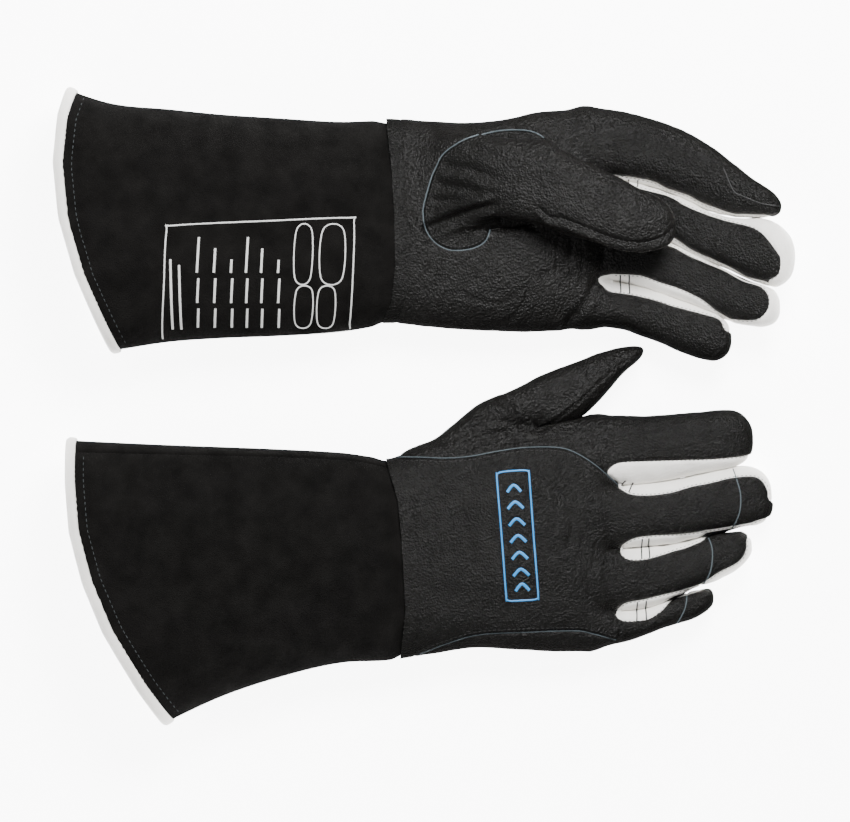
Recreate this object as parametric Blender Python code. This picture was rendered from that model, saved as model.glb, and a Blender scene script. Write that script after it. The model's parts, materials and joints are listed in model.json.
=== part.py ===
"""A pair of gauntlet welding gloves lying side by side, modelled as sewn leather pieces.

Millimetres in the tables, metres in the scene. +X points from the cuffs to the fingertips, +Y points to
the thumb side of both gloves, +Z is up. The right glove lies with its back up, the left glove with its
palm up. The origin is on the resting surface, under the middle of the pair.

Each leather piece is a thin closed shell: a grid of points on its outer face, and the same grid set in
by the leather's thickness. Neighbouring pieces keep a small gap where the real ones are sewn together.
"""

import math

import bmesh
import bpy
import numpy as np

# Driving dimensions, in millimetres
LEATHER = 1.2  # grain leather of the hand
SUEDE = 1.8  # split leather of the cuff
PAD = 2.4  # padding sewn inside the heel of the palm
PAD_CLEARANCE = 1.6  # room between the pad and the palm leather
SEAM_GAP = 0.6  # clearance between two sewn pieces
BINDING_LENGTH = 6.0  # white binding, seen along the glove
BINDING_OVERHANG = 0.8  # how far the binding stands out from the cuff
HAND_ROUNDNESS = 2.4  # superellipse exponents of the sections
CUFF_ROUNDNESS = 2.5
STALL_ROUNDNESS = 2.5
TIP_ROWS = (0.5, 0.8, 0.94, 1.0)  # rows of points round a tip
WING_ROUNDNESS = 5.0  # the thumb hole is a rounded rectangle
WING_MARGIN = 1.6  # clearance inside the hole's edges, in millimetres along the hand and degrees round it
TIP_REACH = 0.985  # how far round a tip the leather goes, where no white strip closes it
FINGER_FLEX = 50.0  # degrees that a finger folds towards the palm
THUMB_FLEX = 45.0
WRIST_FLEX = 20.0
EXTENSION = 10.0  # degrees that a finger bends the other way
HINGE_CLEARANCE = 1.3
PAD_ANGLES = (-134.0, -106.0)  # the part of the palm under which the pad lies, round and along the hand
PAD_SHARES = (0.12, 0.62)
WRIST_X = -17.5  # hinge line of the wrist, where the cuff is sewn on
BAND_HALF = 5.0  # half the height of the white strip along a finger

COLOURS = {
    "grain_leather": ((0.022, 0.021, 0.020), 0.48),
    "split_leather": ((0.010, 0.010, 0.010), 0.95),
    "white_leather": ((0.80, 0.78, 0.74), 0.65),
    "padding": ((0.30, 0.30, 0.31), 0.95),
}

# Cuff and hand: x, thumb-side edge y, little-finger-side edge y, half height. The bottom is on the floor.
GLOVES = {
    "right": {
        "dorsal": 1,
        "knuckle_x": 113.0,
        "cuff": [
            (-200, -18.0, -208.0, 33.0),
            (-170, -19.5, -187.0, 32.0),
            (-137, -21.0, -169.0, 30.5),
            (-110, -22.0, -156.5, 29.0),
            (-80, -23.2, -146.5, 27.0),
            (-45, -25.2, -138.5, 24.5),
            (-18, -28.0, -136.5, 22.5),
        ],
        "mouth": [(-10, -193.0), (-40, -192.0), (-67, -189.5), (-94, -182.5), (-121, -171.5),
            (-150, -154.5), (-176, -137.0)],
        "hand": [
            (-18, -28.5, -137.0, 21.5),
            (2, -23.0, -133.0, 21.0),
            (24, -18.5, -131.0, 21.0),
            (56, -18.8, -131.8, 20.5),
            (80, -13.0, -132.2, 19.0),
            (100, -5.6, -129.5, 17.0),
            (120, -4.6, -124.0, 15.0),
        ],
        "thumb_hole": {"x": (8.0, 74.0), "palm_edge": -58.0, "back_edge": 24.0, "opens_to": "side"},
        "stalls": {
            "index": {
                "line": [(100, -22.0, 16.5), (121, -22.6, 15.5), (148, -20.9, 14.5), (164, -20.9, 14.0),
                    (175.6, -21.2, 13.6)],
                "half_width": [16.0, 16.0, 15.6, 15.0, 14.6],
                "half_height": [15.0, 14.0, 13.0, 12.6, 12.0],
                "tip": 12.0,
            },
            "middle": {
                "line": [(106, -60.3, 16.5), (126, -56.9, 15.5), (148, -53.8, 14.5), (170, -50.2, 13.6),
                    (187, -48.6, 13.0)],
                "half_width": [15.2, 14.8, 14.9, 15.0, 15.0],
                "half_height": [15.0, 14.0, 13.2, 12.8, 12.2],
                "tip": 14.0,
            },
            "ring": {
                "line": [(106, -93.0, 16.2), (126, -88.6, 15.2), (148, -84.4, 14.2), (163, -80.4, 13.4),
                    (175.6, -77.0, 12.6)],
                "half_width": [14.6, 14.6, 13.6, 12.8, 12.2],
                "half_height": [14.6, 13.8, 13.0, 12.4, 11.8],
                "tip": 12.0,
            },
            "little": {
                "line": [(104, -119.6, 15.2), (120, -116.2, 14.2), (134, -111.4, 13.4),
                    (146, -106.6, 12.4), (154.5, -102.6, 11.8)],
                "half_width": [9.0, 8.4, 7.6, 6.6, 6.2],
                "half_height": [13.2, 12.6, 12.0, 11.2, 10.6],
                "tip": 10.0,
            },
        },
        "thumb": {
            "line": [(37, -11.0, 19.5), (57, -1.5, 18.5), (79, 10.2, 17.2), (98, 21.2, 15.6),
                (116.5, 29.4, 14.0)],
            "half_width": [15.6, 15.4, 13.8, 9.0, 6.4],
            "half_height": [13.0, 12.6, 12.0, 10.6, 9.0],
            "tip": 9.0,
            "hinge_at": 13.0,
            "closes": -1,
        },
    },
    "left": {
        "dorsal": -1,
        "knuckle_x": 108.5,
        "cuff": [
            (-200, 173.0, 25.5, 33.0),
            (-170, 163.0, 29.5, 32.0),
            (-137, 159.6, 34.5, 30.5),
            (-110, 157.0, 36.4, 29.0),
            (-80, 155.2, 37.6, 27.0),
            (-45, 153.4, 40.0, 24.5),
            (-18, 152.4, 44.0, 22.5),
        ],
        "mouth": [(175, -191.0), (155, -196.0), (130, -198.0), (100, -195.0), (70, -186.5),
            (45, -176.0), (25, -167.0)],
        "hand": [
            (-18, 155.5, 43.5, 21.5),
            (2, 155.8, 44.2, 21.0),
            (24, 155.0, 41.0, 21.0),
            (56, 156.2, 40.4, 20.5),
            (78, 159.4, 41.4, 19.0),
            (96, 160.2, 44.0, 17.0),
            (118, 156.0, 42.0, 15.0),
        ],
        "thumb_hole": {"x": (0.0, 47.0), "palm_edge": -97.0, "back_edge": -16.0, "opens_to": "palm"},
        "stalls": {
            "index": {
                "line": [(98, 142.2, 16.0), (116, 138.4, 15.4), (137, 131.4, 16.5), (154, 123.8, 19.5),
                    (172, 114.6, 24.5), (189.6, 105.2, 30.0)],
                "half_width": [16.0, 15.6, 14.8, 13.6, 11.4, 9.0],
                "half_height": [14.6, 14.0, 13.4, 12.6, 11.6, 10.4],
                "tip": 11.0,
            },
            "middle": {
                "line": [(98, 109.6, 16.0), (123, 104.2, 16.0), (148, 94.6, 18.5), (170, 84.6, 23.0),
                    (182, 79.4, 26.5), (197.4, 74.2, 31.0)],
                "half_width": [14.2, 13.2, 12.8, 13.2, 13.2, 12.6],
                "half_height": [14.2, 13.6, 13.0, 12.6, 12.2, 11.8],
                "tip": 13.0,
            },
            "ring": {
                "line": [(98, 79.6, 16.0), (123, 74.0, 16.2), (148, 65.6, 18.5), (170, 55.6, 22.5),
                    (190.4, 49.0, 28.0)],
                "half_width": [13.2, 12.0, 11.6, 11.8, 11.4],
                "half_height": [14.0, 13.2, 12.8, 12.2, 11.6],
                "tip": 12.0,
            },
            "little": {
                "line": [(96, 54.0, 15.6), (116, 49.6, 15.6), (137, 41.4, 17.5), (151, 35.0, 20.0),
                    (164.4, 29.2, 23.5)],
                "half_width": [10.2, 10.8, 11.2, 11.2, 10.6],
                "half_height": [13.6, 13.0, 12.4, 11.8, 11.2],
                "tip": 11.0,
            },
        },
        "thumb": {
            "line": [(22, 121.5, 45.5), (50, 118.6, 52.5), (80, 111.4, 55.5), (107, 100.4, 54.5),
                (134, 88.6, 51.5)],
            "half_width": [20.0, 19.6, 18.4, 16.8, 14.0],
            "half_height": [10.0, 10.2, 10.4, 10.0, 9.2],
            "tip": 13.0,
            "hinge_at": 15.0,
            "closes": 1,
        },
    },
}

# Distance from the thumb-side edge to the seam where the palm leather wraps onto the back, along x.
WRAP_THUMB_SIDE = [(-18, 2.0), (8, 5.5), (24, 8.0), (56, 6.5), (70, 10.0), (80, 16.0), (90, 24.0),
    (98, 31.0), (120, 36.0)]
WRAP_LITTLE_SIDE = [(-18, 1.5), (0, 2.0), (11, 5.5), (28, 8.0), (56, 10.5), (80, 11.0), (94, 8.0),
    (104, 4.0), (120, 2.0)]


def interpolate(table, x):
    """The columns after the first of a table, at x, on a smooth curve through its rows."""
    rows = np.array(sorted(table), float)
    slopes = np.gradient(rows[:, 1:], rows[:, 0], axis=0)
    x = min(max(x, rows[0, 0]), rows[-1, 0])
    i = min(int(np.searchsorted(rows[:, 0], x, side="right")) - 1, len(rows) - 2)
    span = rows[i + 1, 0] - rows[i, 0]
    t = (x - rows[i, 0]) / span
    return (
        (2 * t**3 - 3 * t**2 + 1) * rows[i, 1:]
        + (t**3 - 2 * t**2 + t) * span * slopes[i]
        + (-2 * t**3 + 3 * t**2) * rows[i + 1, 1:]
        + (t**3 - t**2) * span * slopes[i + 1]
    )


def superellipse(degrees, roundness):
    """Unit superellipse point at an angle from the thumb side (0) to the back of the hand (90)."""
    c, s = math.cos(math.radians(degrees)), math.sin(math.radians(degrees))
    power = 2 / roundness
    return math.copysign(abs(c) ** power, c), math.copysign(abs(s) ** power, s)


def angle_at_width(share, roundness):
    """The angle at which a superellipse is that share of its half width from the middle."""
    share = min(max(share, -0.999), 0.999)
    return math.degrees(math.acos(math.copysign(abs(share) ** (roundness / 2), share)))


def hinge_offset(height, flex, extension):
    """How far a piece stops short of a hinge line, at a height above it on the side that folds shut."""
    half = flex if height > 0 else extension
    return HINGE_CLEARANCE + abs(height) * math.tan(math.radians(half / 2 + 2.5))


def settle(x, y, z, inset=0.0):
    """A point kept above the floor, which flattens the leather where it lies on it."""
    return (x, y, max(z, inset, 0.0))


def make_material(name):
    colour, roughness = COLOURS[name]
    material = bpy.data.materials.get(name) or bpy.data.materials.new(name)
    material.use_nodes = True
    shader = material.node_tree.nodes["Principled BSDF"]
    shader.inputs["Base Color"].default_value = (*colour, 1)
    shader.inputs["Roughness"].default_value = roughness
    shader.inputs["Metallic"].default_value = 0
    return material


def make_shell(name, outer, inner, material, ring=False, cut_cells=()):
    """A closed shell between two grids of points.

    With ring set, the grid's columns close on themselves. The cells named by cut_cells, as (row, column),
    are left out, which makes a notch in the piece.
    """
    rows, columns = len(outer), len(outer[0])
    mesh = bmesh.new()
    sheets = [[[mesh.verts.new(np.array(p) * 0.001) for p in row] for row in grid] for grid in (outer,
        inner)]
    steps = columns if ring else columns - 1
    kept = {(i, j) for i in range(rows - 1) for j in range(steps)} - set(cut_cells)
    for i, j in sorted(kept):
        k = (j + 1) % columns
        corners = ((i, j), (i, k), (i + 1, k), (i + 1, j))
        beyond = ((i - 1, j), (i, (j + 1) % columns if ring else j + 1), (i + 1, j), (i,
            (j - 1) % columns if ring else j - 1))
        mesh.faces.new([sheets[0][r][c] for r, c in corners])
        mesh.faces.new([sheets[1][r][c] for r, c in reversed(corners)])
        for here, there, neighbour in zip(corners, corners[1:] + corners[:1], beyond, strict=True):
            if neighbour not in kept:
                mesh.faces.new([sheets[n][r][c] for n, (r, c) in ((0, there), (0, here), (1, here),
                    (1, there))])
    for vertex in [v for v in mesh.verts if not v.link_faces]:
        mesh.verts.remove(vertex)
    bmesh.ops.recalc_face_normals(mesh, faces=mesh.faces[:])
    data = bpy.data.meshes.new(name)
    mesh.to_mesh(data)
    mesh.free()
    data.materials.append(make_material(material))
    data.shade_smooth()
    data.set_sharp_from_angle(angle=math.radians(50))
    node = bpy.data.objects.new(name, data)
    bpy.context.scene.collection.objects.link(node)
    return node


def set_in(grid, thickness):
    """The same grid of points, whose columns close on themselves,
        moved by the thickness towards its inside."""
    points = np.array(grid)
    round_it = np.roll(points, -1, axis=1) - np.roll(points, 1, axis=1)
    facing = np.cross(np.gradient(points, axis=0), round_it)
    facing /= np.linalg.norm(facing, axis=2, keepdims=True)
    outward = points - points.mean(axis=1, keepdims=True)
    if (facing * outward).sum() < 0:
        facing = -facing
    inner = points - thickness * facing
    inner[..., 2] = np.maximum(inner[..., 2], thickness)
    return inner


def tube_point(glove, table, x, degrees, roundness, inset):
    """A point on the section of the cuff or the hand at x, set in from its outer face."""
    thumb_edge, little_edge, half_height = interpolate(table, x)
    across, up = superellipse(degrees, roundness)
    half_width = (thumb_edge - little_edge) / 2
    y = (thumb_edge + little_edge) / 2 + across * (half_width - inset)
    # The section dips a millimetre under the floor, and settle() flattens it there.
    z = half_height - 1.0 + glove["dorsal"] * up * (half_height - inset)
    return settle(x, y, z, inset)


def shell_rows(point, start, end, angles, stations, thickness):
    """Outer and inner grids between two ends that depend on the angle."""
    grids = []
    for inset in (0.0, thickness):
        grid = []
        for share in stations:
            grid.append([point(start(a) + (end(a) - start(a)) * share, a, inset) for a in angles])
        grids.append(grid)
    return grids


def span(low, high, count):
    return [low + (high - low) * i / (count - 1) for i in range(count)]


def mouth_x(glove, degrees):
    """Where the cuff ends at an angle round it: the mouth is cut on a curve across the cuff."""
    x = -175.0
    for _ in range(12):
        thumb_edge, little_edge, _ = interpolate(glove["cuff"], x)
        across, _ = superellipse(degrees, CUFF_ROUNDNESS)
        y = (thumb_edge + little_edge) / 2 + across * (thumb_edge - little_edge) / 2
        x = 0.5 * x + 0.5 * interpolate(glove["mouth"], y)[0]
    return x


def make_cuff(side, glove):
    """Two split-leather panels sewn along their sides, and the white binding round the mouth."""

    def point(x, degrees, inset):
        return tube_point(glove, glove["cuff"], x, degrees, CUFF_ROUNDNESS, inset)

    def wrist_end(degrees):
        _, up = superellipse(degrees, CUFF_ROUNDNESS)
        height = abs(up) * interpolate(glove["cuff"], WRIST_X)[2]
        return WRIST_X - hinge_offset(height, WRIST_FLEX, WRIST_FLEX)

    def mouth_end(degrees):
        return mouth_x(glove, degrees) + BINDING_LENGTH + SEAM_GAP

    side_seam = 24.0  # degrees that the palm panel wraps onto the back at the thumb side
    panels = {"cuff_back_panel": (side_seam + 0.6, 179.4), "cuff_palm_panel": (180.6,
        360 + side_seam - 0.6)}
    for name, (low, high) in panels.items():
        outer, inner = shell_rows(point, mouth_end, wrist_end, span(low, high, 13), span(0, 1, 6), SUEDE)
        make_shell(f"{side}_{name}", outer, inner, "split_leather")

    outer, inner = [], []
    for share in (0.0, 1.0):
        angles = span(0, 345, 24)
        outer.append([point(mouth_x(glove, a) + share * BINDING_LENGTH, a,
            -BINDING_OVERHANG) for a in angles])
        inner.append([point(mouth_x(glove, a) + share * BINDING_LENGTH, a, SUEDE) for a in angles])
    make_shell(f"{side}_cuff_binding", outer, inner, "white_leather", ring=True)


def seam_angle(glove, x, table, thumb_side):
    """The angle round the hand of the seam between the back piece and the palm leather."""
    thumb_edge, little_edge, _ = interpolate(glove["hand"], x)
    half_width = (thumb_edge - little_edge) / 2
    share = 1 - interpolate(table, x)[0] / half_width
    return angle_at_width(share if thumb_side else -share, HAND_ROUNDNESS)


class Hand:
    """The hand of the glove without its fingers: a tube between the wrist hinge and the knuckle hinge."""

    def __init__(self, glove):
        self.glove = glove
        self.hole = glove["thumb_hole"]

    def height_to_palm(self, x, degrees):
        _, up = superellipse(degrees, HAND_ROUNDNESS)
        return -up * interpolate(self.glove["hand"], x)[2]

    def ends(self, degrees):
        """Where a line along the hand starts and ends, clear of both hinges."""
        wrist = abs(self.height_to_palm(WRIST_X, degrees))
        knuckle_x = self.glove["knuckle_x"]
        knuckle = self.height_to_palm(knuckle_x, degrees)
        return (
            WRIST_X + hinge_offset(wrist, WRIST_FLEX, WRIST_FLEX),
            knuckle_x - hinge_offset(knuckle, FINGER_FLEX, EXTENSION),
        )

    def share_of(self, x):
        """The share of the hand's length at which its side reaches x."""
        start, end = self.ends(0)
        return (x - start) / (end - start)

    def point(self, share, degrees, inset=0.0):
        start, end = self.ends(degrees)
        x = start + (end - start) * share
        return tube_point(self.glove, self.glove["hand"], x, degrees, HAND_ROUNDNESS, inset)

    def x_at(self, share):
        start, end = self.ends(0)
        return start + (end - start) * share

    def thumb_seam(self, share):
        return seam_angle(self.glove, self.x_at(share), WRAP_THUMB_SIDE, True)

    def little_seam(self, share):
        return seam_angle(self.glove, self.x_at(share), WRAP_LITTLE_SIDE, False)


def make_hand(side, glove):
    """The back piece, the palm leather that wraps round both edges, and the heel pad."""
    hand = Hand(glove)
    hole = hand.hole
    low, high = (hand.share_of(x) for x in hole["x"])
    gap = 1.0 * SEAM_GAP / 120
    shares = sorted({0.0, low, low + gap,
        (low + high) / 2, high - gap, high, hand.share_of(84), hand.share_of(97), 1.0})
    over_hole = [i for i, share in enumerate(shares[:-1]) if low <= share < high]
    inside_hole = [i for i, share in enumerate(shares[:-1]) if low + gap <= share < high - gap]
    trim = 0.8  # degrees, which leaves the seam gap

    def grids(columns_at):
        return [[[hand.point(s, a, inset) for a in columns_at(s)] for s in shares] for inset in (0.0,
            LEATHER)]

    def palm_columns(share):
        main = span(hand.little_seam(share) - 360 + trim, hole["palm_edge"], 13)
        return main + span(hole["palm_edge"], hand.thumb_seam(share) - trim, 6)[1:]

    cut = [(i, j) for i in over_hole for j in range(12, 17)]
    make_shell(f"{side}_hand_palm", *grids(palm_columns), "grain_leather", cut_cells=cut)

    reaches_round = hole["back_edge"] < 0

    def back_columns(share):
        tab = span(hole["back_edge"], hand.thumb_seam(share) + trim, 4)[:-1] if reaches_round else []
        return tab + span(hand.thumb_seam(share) + trim, hand.little_seam(share) - trim, 11)

    cut = [(i, j) for i in range(len(shares) - 1) if i not in inside_hole for j in range(3)] if reaches_round else []
    make_shell(f"{side}_hand_back", *grids(back_columns), "grain_leather", cut_cells=cut)

    pad = []
    for inset in (LEATHER + PAD_CLEARANCE, LEATHER + PAD_CLEARANCE + PAD):
        pad.append([[hand.point(s, a, inset) for a in span(*PAD_ANGLES, 6)] for s in span(*PAD_SHARES, 5)])
    make_shell(f"{side}_palm_pad", *pad, "padding")


class Stall:
    """A finger or thumb of the glove: a line through its middle, with a superellipse section along it."""

    def __init__(self, glove, spec):
        self.dorsal = glove["dorsal"]
        line = np.array(spec["line"], float)
        steps = np.linalg.norm(np.diff(line, axis=0), axis=1)
        self.at = np.concatenate([[0], np.cumsum(steps)])
        self.length = self.at[-1]
        self.tip = spec["tip"]
        columns = zip(self.at, *line.T, spec["half_width"], spec["half_height"], strict=True)
        self.table = [tuple(float(v) for v in row) for row in columns]

    def frame(self, s):
        """Middle, direction to the thumb side, direction to the back of the hand, half width and height."""
        here = interpolate(self.table, s)
        ahead, behind = interpolate(self.table, s + 1)[:3], interpolate(self.table, s - 1)[:3]
        along = (ahead - behind) / np.linalg.norm(ahead - behind)
        across = np.cross((0, 0, 1), along)
        across /= np.linalg.norm(across)
        up = np.cross(along, across) * self.dorsal
        return here[:3], across, up, here[3], here[4]

    def taper(self, s):
        """How much the section shrinks at s, from 1 along the stall to 0 at its tip."""
        beyond = max(0.0, s - (self.length - self.tip)) / self.tip
        return max(0.0, 1 - beyond**STALL_ROUNDNESS) ** (1 / STALL_ROUNDNESS)

    def point(self, s, degrees, inset=0.0):
        middle, across, up, half_width, half_height = self.frame(s)
        a, b = superellipse(degrees, STALL_ROUNDNESS)
        k = self.taper(s)
        p = middle + across * a * (half_width * k - inset) + up * b * (half_height * k - inset)
        return settle(*p, inset)

    def band_point(self, u, v, inset=0.0):
        """A point on the side strip: u runs along one side, round the tip and back,
            v is the height share."""
        height = v * BAND_HALF
        straight = self.length - self.tip
        if abs(u) >= 1:  # along a side: |u| from 2 at the base to 1 where the tip begins
            s = straight * (2 - abs(u))
            side, forward = math.copysign(1.0, u), 0.0
        else:  # round the tip
            s = straight
            side, forward = superellipse(90 - 90 * u, STALL_ROUNDNESS)
        middle, across, up, half_width, half_height = self.frame(s)
        shrink = (1 - (abs(height) / half_height) ** STALL_ROUNDNESS) ** (1 / STALL_ROUNDNESS)
        along = np.cross(across, up) * self.dorsal
        p = (
            middle
            + across * side * (half_width * shrink - inset)
            + along * forward * (self.tip * shrink - inset)
            + up * height
        )
        return settle(*p, 0.0)

    def seam_angle(self, s):
        """The angle up the section at which the back and palm pieces stop, clear of the side strip."""
        room = self.frame(s)[4] * self.taper(s) - LEATHER
        share = min(1.0, (BAND_HALF + SEAM_GAP) / max(room, 1e-6))
        return math.degrees(math.asin(share ** (STALL_ROUNDNESS / 2)))

    def last_station(self):
        """Where the back and palm pieces end: the side strip takes the rest of the tip."""
        low, high = self.length - self.tip, self.length - 0.01
        for _ in range(30):
            s = (low + high) / 2
            if self.frame(s)[4] * self.taper(s) - LEATHER > (BAND_HALF + SEAM_GAP) * 1.1:
                low = s
            else:
                high = s
        return low


def base_station(stall, probe, hinge_x, hinge_z, flex):
    """Where a piece starts beyond the hinge line, for the point that probe gives along the stall."""
    low, high = 0.0, stall.length * 0.6
    for _ in range(24):
        s = (low + high) / 2
        p = probe(s)
        height = -(p[2] - hinge_z) * stall.dorsal
        if p[0] < hinge_x + hinge_offset(height, flex, EXTENSION):
            low = s
        else:
            high = s
    return high


def knuckle_height(glove, spec):
    """Height of the finger's own axis where it crosses the hinge line."""
    rows = [(p[0], p[2]) for p in spec["line"]]
    return float(interpolate(rows, glove["knuckle_x"])[0])


def rows_along(stall, begin, end, straight_rows):
    """Stations of a piece's rows, closer together where the tip curves."""
    straight = stall.length - stall.tip
    if end <= straight:
        return span(begin, end, straight_rows)
    return span(begin, straight, straight_rows) + [straight + (end - straight) * f for f in TIP_ROWS]


def make_stall_piece(name, stall, limits, begin_at, end, straight_rows, columns, material):
    """A back, palm or wrap piece, from begin_at (the hinge, or a seam) to a seam nearer the tip."""
    grids = []
    for inset in (0.0, LEATHER):
        lines = []
        for part in span(0, 1, columns):
            low, high = limits(stall.length * 0.3)
            line = []
            for s in rows_along(stall, begin_at(low + (high - low) * part), end, straight_rows):
                low, high = limits(s)
                line.append(stall.point(s, low + (high - low) * part, inset))
            lines.append(line)
        grids.append([list(row) for row in zip(*lines, strict=True)])
    make_shell(name, *grids, material)


def from_hinge(stall, glove, hinge_z):
    """Where a piece starts at an angle round the stall, clear of the hinge."""

    def begin_at(degrees):
        return base_station(
            stall, lambda s: stall.point(s, degrees), glove["knuckle_x"], hinge_z, FINGER_FLEX
        )

    return begin_at


def make_band(name, stall, glove, hinge_z, sides, half_end=None):
    """The white strip between the fingers, on one side of a stall, or on both and round its tip."""
    straight = stall.length - stall.tip

    def start(sign, v):
        def probe(s):
            return stall.band_point(sign * (2 - s / straight), v)

        return 2 - base_station(stall, probe, glove["knuckle_x"], hinge_z, FINGER_FLEX) / straight

    heights = span(-1, 1, 3)
    grids = []
    for inset in (0.0, LEATHER):
        grid = []
        if sides == "both":
            there = [(1, 1.0), (1, 0.66), (1, 0.33), (1, 0.0), (0, 0.85), (0, 0.5)]
            stations = [*there,
                (0, 0.0), *((-sign, -share if sign == 0 else share) for sign, share in reversed(there))]
        else:
            sign = 1 if sides == "thumb" else -1
            stations = [(sign, share) for share in (1.0, 0.66, 0.33, 0.0)] + [(0,
                sign * u) for u in (0.85, 0.5, 0.1)]
        for sign, share in stations:
            row = []
            for v in heights:
                u = share if sign == 0 else sign * (1 + (start(sign, v) - 1) * share)
                row.append(stall.band_point(u, v, inset))
            grid.append(row)
        grids.append(grid)
    make_shell(name, *grids, "white_leather")


def make_index(side, glove):
    """One piece of palm leather wraps round the outside of the index finger, closed by a white strip."""
    spec = glove["stalls"]["index"]
    stall = Stall(glove, spec)
    hinge_z = knuckle_height(glove, spec)

    def limits(s):
        seam = stall.seam_angle(s)
        return -180 + seam, 180 - seam

    end = stall.length - stall.tip * (1 - TIP_REACH)
    make_stall_piece(
        f"{side}_index_wrap", stall, limits, from_hinge(stall, glove, hinge_z), end, 5, 12, "grain_leather"
    )
    make_band(f"{side}_index_side_strip", stall, glove, hinge_z, "little")


def make_finger(side, glove, finger, band_sides, cap_length):
    """Back piece, fingertip cap and palm piece, joined by the white strip."""
    spec = glove["stalls"][finger]
    stall = Stall(glove, spec)
    hinge_z = knuckle_height(glove, spec)
    end = stall.last_station()
    seam_s = stall.length - cap_length

    def back_limits(s):
        seam = stall.seam_angle(s)
        return (seam, 180 - seam) if band_sides == "both" else (seam, 178.5)

    def palm_limits(s):
        seam = stall.seam_angle(s)
        return (-180 + seam, -seam) if band_sides == "both" else (-178.5, -seam)

    if band_sides != "both":
        end = stall.length - stall.tip * (1 - TIP_REACH)
    hinge = from_hinge(stall, glove, hinge_z)
    for piece, limits, begin_at, until, rows in (
        ("back", back_limits, hinge, seam_s - SEAM_GAP, 4),
        ("tip_cap", back_limits, lambda degrees: seam_s, end, 2),
        ("palm", palm_limits, hinge, end, 5),
    ):
        make_stall_piece(f"{side}_{finger}_{piece}", stall, limits, begin_at, until, rows, 6,
            "grain_leather")
    make_band(f"{side}_{finger}_side_strip", stall, glove, hinge_z, band_sides)


def thumb_hole_point(hand, degrees, inset):
    """A point of the thumb hole's rim, at an angle round the thumb that stands in it."""
    hole = hand.hole
    across, up = superellipse(degrees, WING_ROUNDNESS)
    if hole["opens_to"] == "side":
        along, round_hand = -across, up
    else:
        along, round_hand = up, across
    low, high = hole["x"][0] + WING_MARGIN, hole["x"][1] - WING_MARGIN
    x = (low + high) / 2 + along * (high - low) / 2
    low, high = hole["palm_edge"] + WING_MARGIN, hole["back_edge"] - WING_MARGIN
    return hand.point(hand.share_of(x), (low + high) / 2 + round_hand * (high - low) / 2, inset)


def make_thumb(side, glove):
    """A front and a back piece joined by welted seams, on a wing piece let into the hand."""
    spec = glove["thumb"]
    stall = Stall(glove, spec)
    hand = Hand(glove)
    hinge = stall.frame(spec["hinge_at"])[0]

    def end_station(degrees, sign):
        """The station on one side of the hinge line at which the V-shaped clearance is kept."""
        s = spec["hinge_at"]
        for _ in range(20):
            height = (stall.point(max(s, 0.0), degrees)[2] - hinge[2]) * spec["closes"]
            s = spec["hinge_at"] + sign * hinge_offset(height, THUMB_FLEX, EXTENSION)
        return max(s, 0.5)

    end = stall.length - stall.tip * (1 - TIP_REACH)
    for name, limits in {"thumb_back": (1.5, 178.5), "thumb_front": (181.5, 358.5)}.items():
        make_stall_piece(
            f"{side}_{name}", stall, lambda s, pair=limits: pair, lambda a: end_station(a, 1), end, 5, 8,
                "grain_leather"
        )

    angles = span(0, 342, 20)
    rim = [np.array(thumb_hole_point(hand, a, 0.0)) for a in angles]
    collar = [np.array(stall.point(end_station(a, -1), a)) for a in angles]
    outer = [[p + (q - p) * share for p, q in zip(rim, collar, strict=True)] for share in (0, 0.5, 1)]
    make_shell(f"{side}_thumb_wing", outer, set_in(outer, LEATHER), "grain_leather", ring=True)


def clear_scene():
    for node in list(bpy.data.objects):
        bpy.data.objects.remove(node)


def hang(side, names, joint, pivot):
    """Parents pieces to an empty on their joint's axis, and leaves their shapes where they are."""
    empty = bpy.data.objects.new(f"{side}_{joint}_joint", None)
    empty.location = [float(value) * 0.001 for value in pivot]
    bpy.context.scene.collection.objects.link(empty)
    bpy.context.view_layer.update()
    for name in names:
        piece = bpy.data.objects[f"{side}_{name}"]
        piece.parent = empty
        piece.matrix_parent_inverse = empty.matrix_world.inverted()


def hang_on_joints(side, glove):
    """The wrist, knuckle and thumb hinges, and the slide that lifts the whole left glove."""
    thumb_edge, little_edge, half_height = interpolate(glove["hand"], WRIST_X)
    wrist = (WRIST_X, (thumb_edge + little_edge) / 2, half_height - 1)
    hang(side, ["cuff_back_panel", "cuff_palm_panel", "cuff_binding"], "wrist", wrist)
    for finger, spec in glove["stalls"].items():
        y = interpolate(spec["line"], glove["knuckle_x"])[0]
        pieces = ["wrap"] if finger == "index" else ["back", "palm", "tip_cap"]
        names = [f"{finger}_{piece}" for piece in (*pieces, "side_strip")]
        hang(side, names, f"{finger}_knuckle", (glove["knuckle_x"], y, knuckle_height(glove, spec)))
    thumb = Stall(glove, glove["thumb"]).frame(glove["thumb"]["hinge_at"])[0]
    hang(side, ["thumb_back", "thumb_front"], "thumb_base", thumb)
    hang(side, ["hand_back", "hand_palm", "palm_pad", "thumb_wing"], "hand", (0,
        (thumb_edge + little_edge) / 2, 0))


def main():
    clear_scene()
    for side, glove in GLOVES.items():
        make_cuff(side, glove)
        make_hand(side, glove)
        make_index(side, glove)
        make_finger(side, glove, "middle", "both", 20.0)
        make_finger(side, glove, "ring", "both", 20.0)
        make_finger(side, glove, "little", "thumb", 16.0)
        make_thumb(side, glove)
        hang_on_joints(side, glove)


main()
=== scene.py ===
"""Looks of a pair of gauntlet welding gloves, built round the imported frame.

Millimetres in the tables, metres in the scene. The hand, the fingers and the thumb are rounded tubes that
run along +X and melt into each other; their surface is meshed, cut along the seams into leather pieces, and
pressed in at seams and folds. The right glove lies back up, the left one palm up.
"""

import json
import math

import bpy
import numpy as np
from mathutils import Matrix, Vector
from mathutils.bvhtree import BVHTree

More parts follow.
